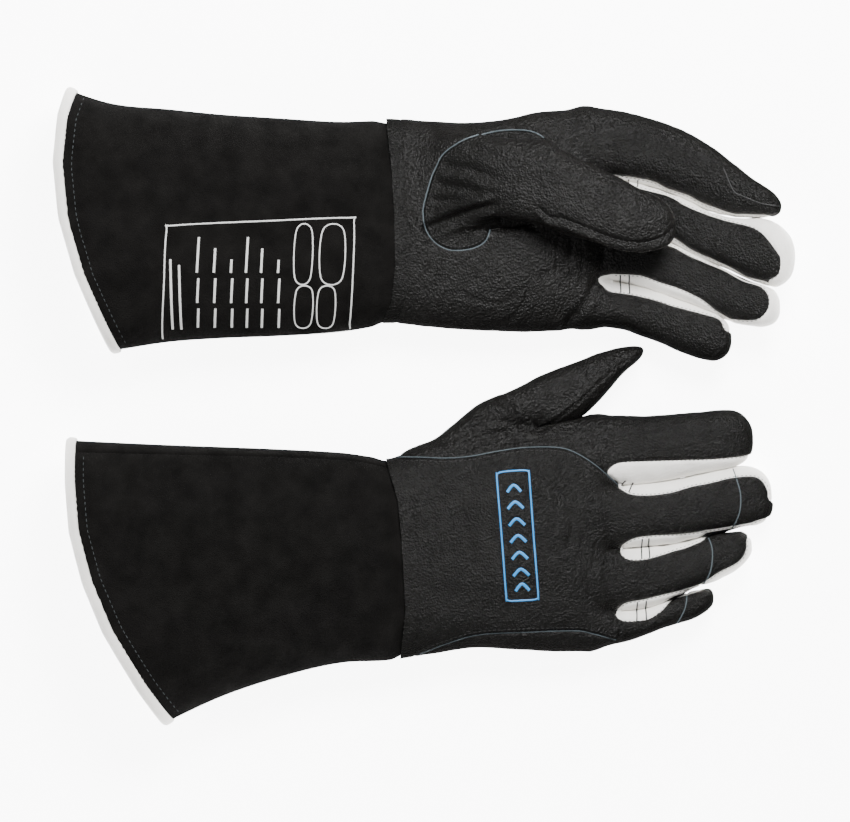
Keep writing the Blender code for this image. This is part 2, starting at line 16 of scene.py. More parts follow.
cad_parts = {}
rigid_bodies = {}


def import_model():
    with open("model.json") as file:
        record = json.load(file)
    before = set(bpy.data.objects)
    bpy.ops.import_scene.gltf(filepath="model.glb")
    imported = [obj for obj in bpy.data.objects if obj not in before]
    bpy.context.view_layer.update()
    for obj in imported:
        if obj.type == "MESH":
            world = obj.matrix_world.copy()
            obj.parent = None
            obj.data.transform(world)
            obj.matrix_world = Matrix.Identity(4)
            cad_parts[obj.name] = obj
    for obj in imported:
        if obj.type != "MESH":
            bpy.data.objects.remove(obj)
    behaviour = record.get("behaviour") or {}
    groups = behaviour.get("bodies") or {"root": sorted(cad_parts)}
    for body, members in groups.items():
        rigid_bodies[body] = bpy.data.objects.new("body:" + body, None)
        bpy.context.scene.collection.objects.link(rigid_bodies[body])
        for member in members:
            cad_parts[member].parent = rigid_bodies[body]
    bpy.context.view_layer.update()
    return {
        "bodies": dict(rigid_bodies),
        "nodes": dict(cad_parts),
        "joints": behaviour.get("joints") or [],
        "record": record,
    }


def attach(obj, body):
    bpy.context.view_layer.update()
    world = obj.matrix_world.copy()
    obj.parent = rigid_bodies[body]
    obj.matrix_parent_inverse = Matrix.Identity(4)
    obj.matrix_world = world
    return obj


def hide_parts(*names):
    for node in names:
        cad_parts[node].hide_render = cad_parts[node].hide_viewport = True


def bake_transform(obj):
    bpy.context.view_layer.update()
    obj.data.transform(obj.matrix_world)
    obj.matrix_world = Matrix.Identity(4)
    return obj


MM = 0.001
STEP = 1.15  # spacing of the leather's mesh
ROUND = 2.7  # how square the tubes' sections are
FINGERS = ("index", "middle", "ring", "little")

# hand: x, little-finger-side edge, thumb-side edge, half height
# digits: x, little-finger-side edge, thumb-side edge, middle height, half height; then the tip's x and length
GLOVES = {
    "right": {
        "palm_up": False,
        "cut": 105.5,
        "cuff": [
            (-200, -208.0, -18.0, 33.0), (-170, -187.0, -19.5, 32.0), (-137, -169.0, -21.0, 30.5),
            (-110, -156.5, -22.0, 29.0), (-80, -146.5, -23.2, 27.0), (-45, -138.5, -25.2, 24.5),
            (-18, -137.0, -28.0, 22.0), (0, -133.0, -25.0, 20.5),
        ],
        "mouth": [
            (-176, -137.0), (-150, -154.5), (-121, -171.5), (-94, -182.5), (-67, -189.5), (-40, -192.0),
            (-10, -193.0),
        ],
        "wrist": [(-145, -14), (-137, -14), (-110, -11), (-72.5, -13), (-51, -15), (-29, -21.5), (-20, -22)],
        "hand": [
            (-30, -138.5, -29.5, 21.8), (-18, -137.0, -28.0, 21.5), (2, -133.5, -22.0, 21.0),
            (24, -131.0, -17.0, 21.0),
            (56, -131.8, -11.0, 20.5), (66, -132.2, -9.0, 19.8), (80, -132.2, -6.5, 18.5),
            (92, -131.0, -5.5, 17.0), (100, -129.5, -5.6, 15.5),
        ],
        "digits": {
            "index": [
                [(88, -43, -6, 16, 14.5), (105, -43.2, -5.8, 16, 14.5), (119, -42.2, -5.8, 15.5, 14),
                 (133, -40.2, -5, 15, 13.6), (146, -37.4, -3.8, 14.5, 13.2), (160, -34.6, -2.7, 14, 12.6),
                 (172, -32.2, -3.2, 13.6, 12), (177, -32, -4, 13.4, 11.6)], 177.0, 16.0],
            "middle": [
                [(88, -77, -42.4, 16.5, 15), (105, -77, -42.8, 16.5, 14.8), (119, -76, -41.8, 16, 14.4),
                 (133, -74.8, -39.8, 15, 13.8), (148, -71.4, -36.8, 14.5, 13.4), (160, -68.6, -34.2, 14, 13),
                 (172, -66, -32.8, 13.4, 12.6), (187, -64.5, -35, 13, 12)], 187.8, 16.0],
            "ring": [
                [(88, -110.4, -76.4, 16, 14.6), (105, -110.8, -76.8, 16, 14.6),
                 (119, -109.6, -75.8, 15.4, 14),
                 (133, -104.8, -74.4, 14.6, 13.4), (148, -98, -71, 14, 13), (160, -93, -68.4, 13.6, 12.6),
                 (170, -88, -67.2, 13.2, 12.2), (177, -84, -68, 12.8, 12)], 177.0, 14.0],
            "little": [
                [(88, -130, -110, 15, 13.8), (105, -127.6, -110.4, 15, 13.6), (117, -124, -109.2, 14.4, 13),
                 (130, -119.4, -105.4, 13.6, 12.4), (142, -115.6, -100.6, 12.8, 11.6),
                 (154, -111, -97.4, 12, 10.8)],
                156.0, 13.0],
        },
        "thumb": [
            [(-6, -44, -23.4, 19, 14), (2, -42, -20.6, 19, 14), (15, -36, -9.4, 19, 14),
             (25, -29, -1, 19, 14),
             (36, -20, 4.6, 19, 13.8), (47, -13.5, 9.2, 18.6, 13.4), (60, -11.6, 15.4, 18, 13),
             (71, -10.6, 20, 17.6, 12.6), (87, -4.3, 25.6, 16.6, 12), (98, 7.4, 29.4, 15.8, 11.2),
             (107, 17.4, 31.8, 15, 10.4), (118, 26.4, 33.6, 14, 9.4)], 118.0, 10.0],
        "thumb_from": (41.0, -7.0), "thumb_to": (62.0, 2.0), "thumb_way": (0.905, 0.426),
        "white": [
            [(98, -36.5), (101.5, -31.8), (107, -30.4), (113, -30), (133, -29.5), (153.5, -29), (167, -28),
             (173, -27.4),
             (182, -27), (196, -36), (196, -50), (186.5, -51), (186, -46.5), (183, -41), (178.5, -38),
             (172.5, -37.5),
             (164, -38.5), (153.5, -41), (142.5, -43), (133, -46), (122, -47.5), (111, -47), (105, -43.5)],
            [(105, -78.3), (106.5, -75.5), (112.9, -71.8), (123.7, -70.2), (142.6, -69.1), (156, -67),
             (167, -65.3),
             (175.5, -64), (180.4, -62), (190, -60), (192, -66), (180, -66.5), (175.5, -66), (167, -67),
             (153.4, -69.1),
             (148, -72.4), (140, -75.6), (130, -78.8), (118.3, -82.4), (108.5, -82.4)],
            [(102.4, -112), (107.5, -106.9), (117, -104.8), (129, -102), (140, -99.4), (148, -97),
             (152, -94.8),
             (158.8, -89.8), (169.6, -84), (173.3, -77.8), (175.5, -69.7), (190, -66), (186, -88), (166, -97),
             (156, -97.8), (150, -98.4), (140, -101.6), (131.8, -104.8), (126.4, -110.7), (119.6, -115),
             (108.5, -116),
             (103.4, -114)],
        ],
        "panel": [  # the piece of leather on the back of the hand
            (-40, -27.5), (-22, -27.5), (-3, -27.5), (10.5, -28), (24, -27), (37.5, -24.5), (51, -22.5),
            (64.5, -22),
            (75, -23), (84, -27), (91.5, -32), (98, -37.5), (104, -43), (112, -60), (112, -104), (107, -116),
            (102.5, -126), (96.5, -124.5), (89.5, -122.5), (80.5, -121), (56, -121.5), (28.5, -123),
            (11, -128),
            (-4, -134), (-40, -142)],
        "caps": [("middle", [(166, -34), (167.6, -39.7), (169.6, -48), (169, -57.5), (165.5, -66)]),
                 ("ring", [(150, -64), (152, -69.7), (154.4, -77.8), (153.4, -88.6), (149, -98)]),
                 ("little", [(141.5, -98), (140.9, -102.6), (139.3, -110.2), (134, -120)])],
        "crosses": [("index", [(107.7, -40.2), (106, -42)]), ("index", [(111.8, -41.3), (111, -43)]),
                    ("middle", [(106, -42), (103.7, -44.3)]), ("middle", [(111, -43), (109.3, -46.6)]),
                    ("middle", [(116.6, -71.6), (116.4, -75.8)]), ("middle", [(120.2, -71.2), (120, -75.6)]),
                    ("ring", [(116.4, -75.8), (116.2, -82.4)]), ("ring", [(120.4, -75.4), (120.6, -82)]),
                    ("ring", [(114, -105.6), (113.8, -110)]), ("ring", [(118.8, -104.8), (118.6, -109)]),
                    ("little", [(113.8, -110), (113.6, -115.8)]), ("little", [(118.6, -109), (118.8, -115)])],
        "folds": [
            (0.9, 1.6, [(35, 5), (45.5, -1), (49, -7.5), (54, -11.5), (63, -13)]),
            (0.8, 1.6, [(2, -21), (14, -18), (27, -12), (38, -8), (50, -11)]),
            (0.6, 1.5, [(5, -24), (18, -21), (31, -16), (44, -13.5)]),
            (0.7, 1.8, [(20, -6), (28, -5), (38, -4.5)]),
            (0.6, 1.6, [(2, -26), (22, -25.5), (40, -20.5), (58, -17), (74, -17)]),
            (0.4, 1.5, [(70, -13), (80, -11.5), (88, -14), (94, -20)]),
            (0.5, 2.2, [(60, -40), (72, -48), (78, -62), (76, -76)]),
            (0.5, 2.5, [(20, -60), (24, -80), (20, -100)]),
            (0.4, 2.0, [(4, -60), (8, -90), (2, -118)]),
            (0.4, 2.2, [(88, -60), (92, -75), (88, -92), (90, -110)]),
        ],
        "welts": [(1.0, 1.1, [(52, -13), (62.5, -9.5), (78, 1), (91.5, 13.2), (100.5, 21), (113, 29.4)]),
                  (0.6, 0.8, [(55, -16), (64, -12.4), (79.5, -2), (93, 10.4), (102, 18.4), (114, 27)])],
    },
    "left": {
        "palm_up": True,
        "cut": 101.0,
        "cuff": [
            (-200, 25.5, 173.0, 33.0), (-170, 29.5, 163.0, 32.0), (-137, 34.5, 159.6, 30.5),
            (-110, 36.4, 157.0, 29.0),
            (-80, 37.6, 155.2, 27.0), (-45, 40.0, 153.4, 24.5), (-18, 44.0, 154.4, 22.0),
            (0, 44.0, 154.0, 20.5),
        ],
        "mouth": [
            (25, -167.0), (45, -176.0), (70, -186.5), (100, -195.0), (130, -198.0), (155, -196.0),
            (175, -191.0),
        ],
        "wrist": [(36, -26), (41, -25), (56, -18.5), (75, -16.5), (101, -17), (127, -18.5), (155, -21.5),
                  (162, -22)],
        "hand": [
            (-30, 44.5, 155.5, 21.8), (-18, 45.0, 155.2, 21.5), (2, 42.5, 154.0, 21.0),
            (24, 40.8, 153.0, 21.0),
            (46, 40.4, 155.5, 20.8), (60, 40.4, 158.8, 20.2), (73, 40.5, 159.8, 19.2),
            (88, 43.4, 159.9, 17.6),
            (97, 43.0, 159.8, 16.0),
        ],
        "digits": {
            "index": [
                [(84, 122, 159.6, 16, 14.6), (99.4, 122.2, 159.8, 16, 14.6), (113, 120.2, 157.3, 15.4, 14.2),
                 (126.4, 116.8, 153.4, 16, 13.8), (140, 111.2, 148, 17, 13.2), (153.4, 105, 140, 19.5, 12.6),
                 (167, 102, 129.6, 23, 11.8), (180, 101.5, 119, 27, 10.8), (192, 101.5, 111, 30, 10)],
                 190.8, 10.0],
            "middle": [
                [(84, 94.6, 122.6, 16, 14.4), (99, 94.4, 122.6, 16, 14.2), (113, 92.4, 120.8, 16, 13.8),
                 (124, 90, 117.6, 16.2, 13.6), (133, 88, 114.4, 17, 13.4), (142.6, 82.6, 110.4, 18, 13.2),
                 (153.4, 77.6, 105, 19.6, 13), (164, 72.8, 102.4, 22, 12.8), (172, 68.6, 101.8, 23.6, 12.6),
                 (181, 65.6, 101.6, 26.4, 12.2), (190, 64, 98.6, 29.4, 12), (199, 65, 96, 31.4, 12)], 198.2,
                 15.0],
            "ring": [
                [(84, 68, 95, 16, 14), (98, 67.6, 94.8, 16, 14), (113, 65.2, 92.8, 16, 13.6),
                 (121, 62.6, 91, 16.2, 13.4),
                 (132, 58.8, 88.4, 17, 13), (142.6, 54.8, 83, 18, 12.8), (153.4, 50, 78, 19.4, 12.4),
                 (164, 46, 73.2, 21.6, 12.2), (172, 43.8, 69, 23, 12), (184, 42.2, 65.2, 26.4, 11.8),
                 (192, 43, 63, 28.4, 11.6)], 191.2, 13.0],
            "little": [
                [(84, 43, 68.6, 15.6, 13.8), (99, 42.8, 68.2, 15.6, 13.6), (108.5, 41.6, 66.4, 15.6, 13.2),
                 (117, 38.4, 64.4, 15.8, 12.8), (126.4, 34.6, 61.4, 16.4, 12.6), (137, 30, 57.4, 17.6, 12.4),
                 (146, 26.8, 54.2, 19, 12), (155, 24.8, 50.4, 20.8, 11.6), (165, 26, 46.6, 23.4, 11.2)],
                 164.8, 11.0],
        },
        "thumb": [
            [(4, 96, 146, 30, 12), (14, 98, 147, 36, 12), (24, 100, 146, 42, 11), (36, 101, 144, 46.5, 11),
             (48, 99, 143, 50, 10.8), (60, 97, 142.6, 52, 10.8), (65.3, 95, 142, 53, 10.8),
             (73, 91.8, 136, 53.6, 10.8),
             (86, 88.4, 129.4, 54.4, 10.6), (99.4, 84.2, 123, 54.6, 10.4), (113, 82.2, 116.4, 54, 10),
             (124, 83.2, 111, 53, 9.4), (134, 84.5, 106, 51.6, 9)], 133.2, 12.0],
        "thumb_from": (26.0, 121.0), "thumb_to": (50.0, 118.6), "thumb_way": (0.996, -0.088),
        "white": [
            [(98, 124), (103, 124), (113, 122.5), (123.5, 120), (130, 116.5), (140, 113.5), (148, 109),
             (156, 106),
             (164, 103), (172.5, 102.2), (181, 102), (190, 100), (206, 94), (210, 78), (200, 60),
             (184, 64.6), (184, 67),
             (189, 70.5), (190, 79), (187, 84), (180.5, 92.5), (173.5, 97), (164, 99.5), (153.5, 103),
             (140, 108.5),
             (132, 113.5), (123.5, 116), (113, 118.5), (106, 121)],
            [(98, 97), (112, 95.4), (124, 93), (134, 89.5), (142.5, 84), (153.5, 79), (164, 73.5),
             (172.5, 68.5),
             (181, 66.6), (186, 64.6), (200, 60), (200, 40), (182, 36), (164, 42), (164.5, 46), (172.5, 45.5),
             (178.5, 46.5), (183.5, 52), (184, 59), (180.5, 64.5), (170.5, 68.5), (161.5, 73.5),
             (153.5, 76.5),
             (142.5, 81), (133, 86.5), (122, 89), (112, 91), (98, 93)],
            [(93.5, 67.5), (96.5, 70), (113, 70), (118, 69), (126.5, 66), (137, 62.5), (148, 57), (156, 51),
             (163, 46.6),
             (170, 43), (170, 40), (161.5, 41), (159, 46.5), (153.5, 49), (142.5, 52), (132, 54.5), (121, 58),
             (110, 60.5), (100, 61.8), (95.5, 65)],
        ],
        "panel": [
            (63.5, 144), (57, 147.5), (47, 148.5), (36.5, 147.5), (26.5, 144.5), (18, 141), (9.5, 135),
            (5.5, 128),
            (3, 122.5), (-1, 108.5), (-1.5, 102), (0, 94.5), (4.5, 88), (11.5, 84), (19, 83.5), (26.5, 85),
            (32, 88.5),
            (34.5, 94.5), (60, 100), (70, 120)],
        "caps": [("index", [(160, 128), (165, 116), (169.5, 113), (180.5, 108.5), (192, 107)])],
        "crosses": [("index", [(109.5, 122.6), (109.4, 120.6)]), ("index", [(114.4, 122), (114.3, 120)]),
                    ("middle", [(109.4, 120.6), (109.2, 119)]), ("middle", [(114.3, 120), (114.2, 118.2)]),
                    ("ring", [(104.8, 70.6), (104.9, 67)]), ("ring", [(109.6, 70.6), (109.7, 66)]),
                    ("little", [(104.9, 67), (105, 61)]), ("little", [(109.7, 66), (109.8, 60.4)])],
        "folds": [
            (2.2, 2.4, [(1, 95), (13.5, 100), (24, 103.5), (35.5, 107), (47, 108.5), (54, 108.5)]),
            (1.0, 1.8, [(26.5, 93.5), (39.5, 95), (49.5, 98), (58, 96)]),
            (1.0, 2.2, [(8, 118), (20, 116), (34, 113), (48, 115)]),
            (0.9, 2.2, [(12, 128), (24, 126), (38, 121), (52, 124)]),
            (0.7, 2.0, [(24, 138), (34, 134), (46, 131), (58, 133)]),
            (0.7, 1.8, [(6, 110), (16, 110), (28, 112)]),
            (0.6, 2.0, [(36, 144), (46, 140), (58, 141)]),
            (0.9, 2.0, [(73, 40.5), (78, 47), (86, 56), (90.5, 66.5), (94, 74), (96, 82)]),
            (0.4, 1.4, [(57, 75), (54, 58), (46, 47), (32, 43), (18, 44.5), (9, 51), (10, 58), (17, 60.5),
                        (27, 57),
                        (40, 55), (51, 62)]),
            (0.3, 1.4, [(34, 71), (31, 75), (27, 74), (26, 69), (30, 66), (34, 68)]),
            (0.3, 1.5, [(2, 66), (-1.5, 58), (0, 48)]),
            (0.6, 2.4, [(64, 70), (74, 76), (80, 86)]),
            (0.4, 1.0, [(70.5, 90), (70.5, 62)]), (0.4, 1.0, [(78, 90), (78, 62)]),
            (0.4, 1.0, [(84, 90), (84, 64)]),
            (0.5, 2.0, [(112, 152), (116, 140), (113, 126)]),
            (0.5, 2.0, [(136, 148), (140, 134), (136, 116)]),
        ],
        "welts": [(1.3, 1.4, [(61, 101), (66, 97), (73, 95.6), (86, 90.4), (99.5, 85.4), (111, 83.2),
                              (121, 84), (129, 87)])],
    },
}
LEFT_WELT = [(60, 105), (65.5, 100), (72.5, 99.5), (86, 94), (99.5, 88.8), (111, 86.6), (119.5, 87.4),
             (126.5, 90), (131, 94)]


# ---------------------------------------------------------------- numbers along lines


def curve_at(table, x):
    """The table's columns at each x, on a smooth curve through its rows."""
    rows = np.asarray(table, float)
    xs, columns = rows[:, 0], rows[:, 1:]
    slopes = np.gradient(columns, xs, axis=0)
    x = np.clip(x, xs[0], xs[-1])
    i = np.clip(np.searchsorted(xs, x, side="right") - 1, 0, len(xs) - 2)
    width = (xs[i + 1] - xs[i])[..., None]
    t = (x - xs[i])[..., None] / width
    out = (2 * t**3 - 3 * t**2 + 1) * columns[i] + (t**3 - 2 * t**2 + t) * width * slopes[i]
    out = out + (3 * t**2 - 2 * t**3) * columns[i + 1] + (t**3 - t**2) * width * slopes[i + 1]
    return np.moveaxis(out, -1, 0)


def smooth_line(points, closed=False, step=1.0):
    """A curve through the points, as points about one step apart."""
    p = np.asarray(points, float)
    n = len(p)
    out = []
    for i in range(n if closed else n - 1):
        before = p[(i - 1) % n] if closed or i > 0 else p[i]
        after = p[(i + 2) % n] if closed or i + 2 < n else p[(i + 1) % n]
        a, b = p[i], p[(i + 1) % n]
        count = max(1, int(round(np.linalg.norm(b - a) / step)))
        for t in np.arange(count) / count:
            out.append(0.5 * (2 * a + (b - before) * t + (2 * before - 5 * a + 4 * b - after) * t**2
                              + (3 * a - before - 3 * b + after) * t**3))
    if not closed:
        out.append(p[-1])
    return np.array(out)


def distance_to(points, line, closed=False):
    """How far each (x, y) is from a line of points."""
    ends = np.roll(line, -1, axis=0) if closed else line[1:]
    best = np.full(len(points), 1e9)
    for a, b in zip(line if closed else line[:-1], ends):
        way = b - a
        t = np.clip(((points - a) @ way) / max(way @ way, 1e-9), 0, 1)
        gap = points - a - t[:, None] * way
        best = np.minimum(best, (gap * gap).sum(axis=1))
    return np.sqrt(best)


def signed_distance(points, outline):
    """Distance to a closed outline, negative inside it."""
    line = smooth_line(outline, closed=True, step=2.0)
    inside = np.zeros(len(points), bool)
    x, y = points[:, 0], points[:, 1]
    for (ax, ay), (bx, by) in zip(line, np.roll(line, -1, axis=0)):
        if ay != by:
            inside ^= ((ay > y) != (by > y)) & (x < ax + (y - ay) * (bx - ax) / (by - ay))
    return np.where(inside, -1, 1) * distance_to(points, line, closed=True)


def ripple(points, length, seed):
    """Smooth random waves of about this length, between -1 and 1."""
    rng = np.random.default_rng(seed)
    total = 0
    for _ in range(7):
        way = rng.normal(size=3)
        way *= 2 * math.pi / (length * rng.uniform(0.7, 1.5) * np.linalg.norm(way))
        total = total + np.sin(points @ way + rng.uniform(0, 6.3))
    return total / 3.5


def fade(value, low, high):
    t = np.clip((value - low) / (high - low), 0, 1)
    return t * t * (3 - 2 * t)


# ---------------------------------------------------------------- shapes


def smooth_min(a, b, blend):
    h = np.maximum(blend - np.abs(a - b), 0) / blend
    return np.minimum(a, b) - h * h * blend * 0.25


def tube(rows, x, y, z, end=None, tip=10.0, start=None, grow=0.0):
    """Rough distance to a tube with rounded-rectangle sections and a rounded end."""
    columns = curve_at(rows, x)
    low, high, middle, half = columns if len(columns) == 4 else (columns[0], columns[1], columns[2],
                                                                 columns[2])
    if len(columns) == 3:
        middle = half - 0.6
    wide, tall = (high - low) / 2 + grow, half + grow
    a, b = np.abs(y - (low + high) / 2) / wide, np.abs(z - middle) / tall
    c = np.zeros_like(x)
    if end is not None:
        c = np.maximum(x - (end - tip), 0) / tip
    if start is not None:
        c = c + np.maximum(start + tip - x, 0) / tip
    n = ROUND
    r = np.maximum((a**n + b**n + c**n) ** (1 / n), 0.08)
    steep = (a ** (n - 1) / wide) ** 2 + (b ** (n - 1) / tall) ** 2 + (c ** (n - 1) / tip) ** 2
    slope = r ** (1 - n) * np.sqrt(steep)
    return (r - 1) / np.maximum(slope, 0.02)


def on_floor(value, z):
    """Flattens a shape where it rests."""
    return -smooth_min(-value, z - 0.5, 3.0)


def finger_shape(glove, finger):
    rows, end, tip = glove["digits"][finger]

    def shape(x, y, z):
        return on_floor(tube(rows, x, y, z, end, tip, start=rows[0][0] - 4, grow=0.5), z)

    return shape


def thumb_shape(glove):
    rows, end, tip = glove["thumb"]

    def shape(x, y, z):
        return on_floor(tube(rows, x, y, z, end, tip, start=rows[0][0] - tip / 2), z)

    return shape


def hand_shape(glove):
    """The hand with the roots of its fingers and the root of its thumb."""
    fingers = [finger_shape(glove, f) for f in FINGERS]
    thumb = thumb_shape(glove)
    (fx, fy), (wx, wy) = glove["thumb_from"], glove["thumb_way"]

    def shape(x, y, z):
        hand = tube(glove["hand"], x, y, z, end=glove["cut"] - 8, tip=10.0)
        melt = 0.05 + 6.0 * (1 - fade(x, glove["cut"] - 16, glove["cut"] - 2))
        roots = fingers[0](x, y, z)
        for other in fingers[1:]:
            roots = smooth_min(roots, other(x, y, z), melt)
        value = smooth_min(hand, roots, 9.0)
        along = (x - fx) * wx + (y - fy) * wy
        root = thumb(x, y, z) + 0.12 * np.maximum(along - 4, 0) + 3.0 * np.maximum(along - 14, 0)
        value = smooth_min(value, root, 9.0)
        return on_floor(value, z)

    return shape


# ---------------------------------------------------------------- meshing


def net(shape, low, high, step=STEP):
    """A mesh of quads over the surface where shape is 0, inside a box."""
    axes = [np.arange(a, b + step, step) for a, b in zip(low, high)]
    x, y, z = np.meshgrid(*axes, indexing="ij", sparse=True)
    values = shape(x + 0 * y + 0 * z, y + 0 * x + 0 * z, z + 0 * x + 0 * y)
    inside = values < 0
    corners = [(i, j, k) for i in (0, 1) for j in (0, 1) for k in (0, 1)]
    n = [len(a) - 1 for a in axes]
    count = sum(inside[i:i + n[0], j:j + n[1], k:k + n[2]].astype(np.int8) for i, j, k in corners)
    cells = np.argwhere((count > 0) & (count < 8))
    index = np.full(n, -1)
    index[tuple(cells.T)] = np.arange(len(cells))
    at = np.array([values[tuple((cells + c).T)] for c in corners])
    total, hits = np.zeros((len(cells), 3)), np.zeros(len(cells))
    for p in range(8):
        for q in range(p + 1, 8):
            gap = np.abs(np.subtract(corners[p], corners[q]))
            if gap.sum() != 1:
                continue
            crossing = (at[p] < 0) != (at[q] < 0)
            t = np.where(crossing, at[p] / np.where(crossing, at[p] - at[q], 1), 0)[:, None]
            spot = np.array(corners[p]) + t * np.subtract(corners[q], corners[p])
            total += np.where(crossing[:, None], spot, 0)
            hits += crossing
    points = np.array(low) + (cells + total / hits[:, None]) * step
    quads = []
    for axis in range(3):
        order = (axis, (axis + 1) % 3, (axis + 2) % 3)
        solid, ids = np.transpose(inside, order), np.transpose(index, order)
        i, j, k = np.nonzero(solid[:-1, 1:-1, 1:-1] != solid[1:, 1:-1, 1:-1])
        j, k = j + 1, k + 1
        quad = np.stack([ids[i, j - 1, k - 1], ids[i, j, k - 1], ids[i, j, k], ids[i, j - 1, k]], axis=1)
        quads.append(np.where(solid[i, j, k][:, None], quad, quad[:, ::-1]))
    return points, np.concatenate(quads)


def slope_of(shape, p, reach=0.15):
    """The direction in which shape grows fastest, and its value, at each point."""
    columns = []
    for axis in range(3):
        d = np.zeros(3)
        d[axis] = reach
        columns.append((shape(*(p + d).T) - shape(*(p - d).T)) / (2 * reach))
    return np.stack(columns, axis=1), shape(*p.T)


def meshed(shape, low, high):
    """Triangles lying on the surface."""
    points, quads = net(shape, low, high)
    for _ in range(3):
        slope, value = slope_of(shape, points)
        size = np.maximum((slope * slope).sum(axis=1), 0.05)
        move = -slope * (value / size)[:, None]
        points = points + np.clip(move, -0.8, 0.8)
    slope, _ = slope_of(shape, points, 0.5)
    normals = slope / np.maximum(np.linalg.norm(slope, axis=1), 1e-6)[:, None]
    a, b, c, d = quads.T
    first = np.linalg.norm(points[a] - points[c], axis=1) < np.linalg.norm(points[b] - points[d], axis=1)
    one = np.where(first[:, None], np.stack([a, b, c], 1), np.stack([a, b, d], 1))
    two = np.where(first[:, None], np.stack([a, c, d], 1), np.stack([b, c, d], 1))
    return points, normals, np.concatenate([one, two])


def split_on(rows, triangles, column):
    """Cuts the triangles along the line where a column of the vertex rows is 0."""
    value = rows[:, column]
    value = np.where(np.abs(value) < 0.02, 0.02, value)
    rows[:, column] = value
    sign = value > 0
    corners = sign[triangles]
    mixed = (corners.sum(axis=1) % 3) != 0
    if not mixed.any():
        return rows, triangles
    kept, cut = triangles[~mixed], triangles[mixed]
    corners = corners[mixed]
    lone = np.where(corners.sum(axis=1) == 1, np.argmax(corners, axis=1), np.argmin(corners, axis=1))
    r = np.arange(len(cut))
    a, b, c = cut[r, lone], cut[r, (lone + 1) % 3], cut[r, (lone + 2) % 3]
    pairs = np.sort(np.concatenate([np.stack([a, b], 1), np.stack([a, c], 1)]), axis=1)
    unique, back = np.unique(pairs, axis=0, return_inverse=True)
    back = back.reshape(-1)
    t = value[unique[:, 0]] / (value[unique[:, 0]] - value[unique[:, 1]])
    fresh = rows[unique[:, 0]] * (1 - t)[:, None] + rows[unique[:, 1]] * t[:, None]
    fresh[:, column] = 0
    ab, ac = len(rows) + back[:len(cut)], len(rows) + back[len(cut):]
    more = np.concatenate([np.stack([a, ab, ac], 1), np.stack([ab, b, c], 1), np.stack([ab, c, ac], 1)])
    return np.concatenate([rows, fresh]), np.concatenate([kept, more])


# ---------------------------------------------------------------- pressed-in seams and folds



def fields_at(glove, points, normals):
    """For each point, the signed distances to the seams."""
    plan = points[:, :2]
    white = np.min([signed_distance(plan, w) for w in glove["white"]], axis=0)
    panel = signed_distance(plan, glove["panel"])
    panel = np.where(points[:, 2] > 20.0 if glove["palm_up"] else points[:, 2] > 15.0, panel,
                     np.maximum(panel, 3.0))
    wrist = np.interp(plan[:, 1], *np.array(glove["wrist"]).T)
    band = points[:, 0] - wrist - 7.5
    caps = np.min([distance_to(plan, smooth_line(c, step=2.0)) for _, c in glove["caps"]], axis=0)
    return np.stack([white, panel, band, points[:, 0] - wrist, caps], axis=1)


def groove(distance, depth, width):
    return -depth * np.exp(-((distance / width) ** 2))


def pressed(glove, points, normals, fields, part):
    """How far each point is pushed out of, or into, the smooth shape."""
    plan, up = points[:, :2], fade(normals[:, 2], 0.0, 0.5)
    white, panel, band, wrist, caps = fields.T
    push = 0.42 * ripple(points, 28.0, 3) + 0.10 * ripple(points, 10.0, 5) + 0.03 * ripple(points, 4.5, 9)
    if part != "thumb":
        push = push + groove(white, 0.9, 0.8) + np.where(white < 0, -0.25, 0.15) * fade(np.abs(white), 0, 1.2)
        push = push + groove(caps, 0.8, 0.7) * fade(-white, -1, 1)
    if part == "hand":
        push = push + groove(panel, 0.9, 0.7) * up + groove(band, 0.4, 0.7)
        push = push + 0.35 * fade(-panel, 0, 1.0) * up
    (fx, fy), (wx, wy) = glove["thumb_from"], glove["thumb_way"]
    along = (points[:, 0] - fx) * wx + (points[:, 1] - fy) * wy
    near = 1 - fade(along, 8, 18) if part == "thumb" else 1.0
    if part == "hand" or part == "thumb":
        for depth, width, line in glove["folds"]:
            d = distance_to(plan, smooth_line(line, step=2.5))
            fold = groove(d, depth, width) + 0.45 * depth * np.exp(-(((d - 2.1 * width) / width) ** 2))
            push = push + fold * up * near
    if part == "thumb":
        for height, width, line in glove["welts"]:
            d = distance_to(plan, smooth_line(line, step=2.0))
            push = push - groove(d, height, width) * up
        if glove["palm_up"]:
            d = distance_to(plan, smooth_line(LEFT_WELT, step=2.0))
            push = push + groove(d, 1.2, 1.0) * up
    if part in FINGERS:
        push = push - 0.5 * fade(glove["cut"] - points[:, 0], 0, 2.0)
        rings = np.sin(points[:, 0] * 0.55 + 2.0 * ripple(points, 40.0, 17)) * ripple(points, 30.0, 19)
        push = push + 0.22 * rings * fade(-white, -1, 2)
    if part == "thumb":
        push = push - 0.5 + 0.6 * fade(along, 1, 10)
    return push


# ---------------------------------------------------------------- Blender objects


def make_object(name, points, faces, material, normals=None):
    mesh = bpy.data.meshes.new(name)
    mesh.from_pydata((np.asarray(points) * MM).tolist(), [], np.asarray(faces).tolist())
    mesh.validate()
    mesh.polygons.foreach_set("use_smooth", [True] * len(mesh.polygons))
    if normals is not None:
        mesh.normals_split_custom_set_from_vertices([tuple(n) for n in normals])
    mesh.materials.append(material)
    obj = bpy.data.objects.new(name, mesh)
    bpy.context.scene.collection.objects.link(obj)
    return obj


def part_of(name, points, triangles, keep, material, normals):
    """One piece of leather: the triangles that are kept."""
    chosen = triangles[keep]
    used, index = np.unique(chosen, return_inverse=True)
    return make_object(name, points[used], index.reshape(chosen.shape), material, normals[used])


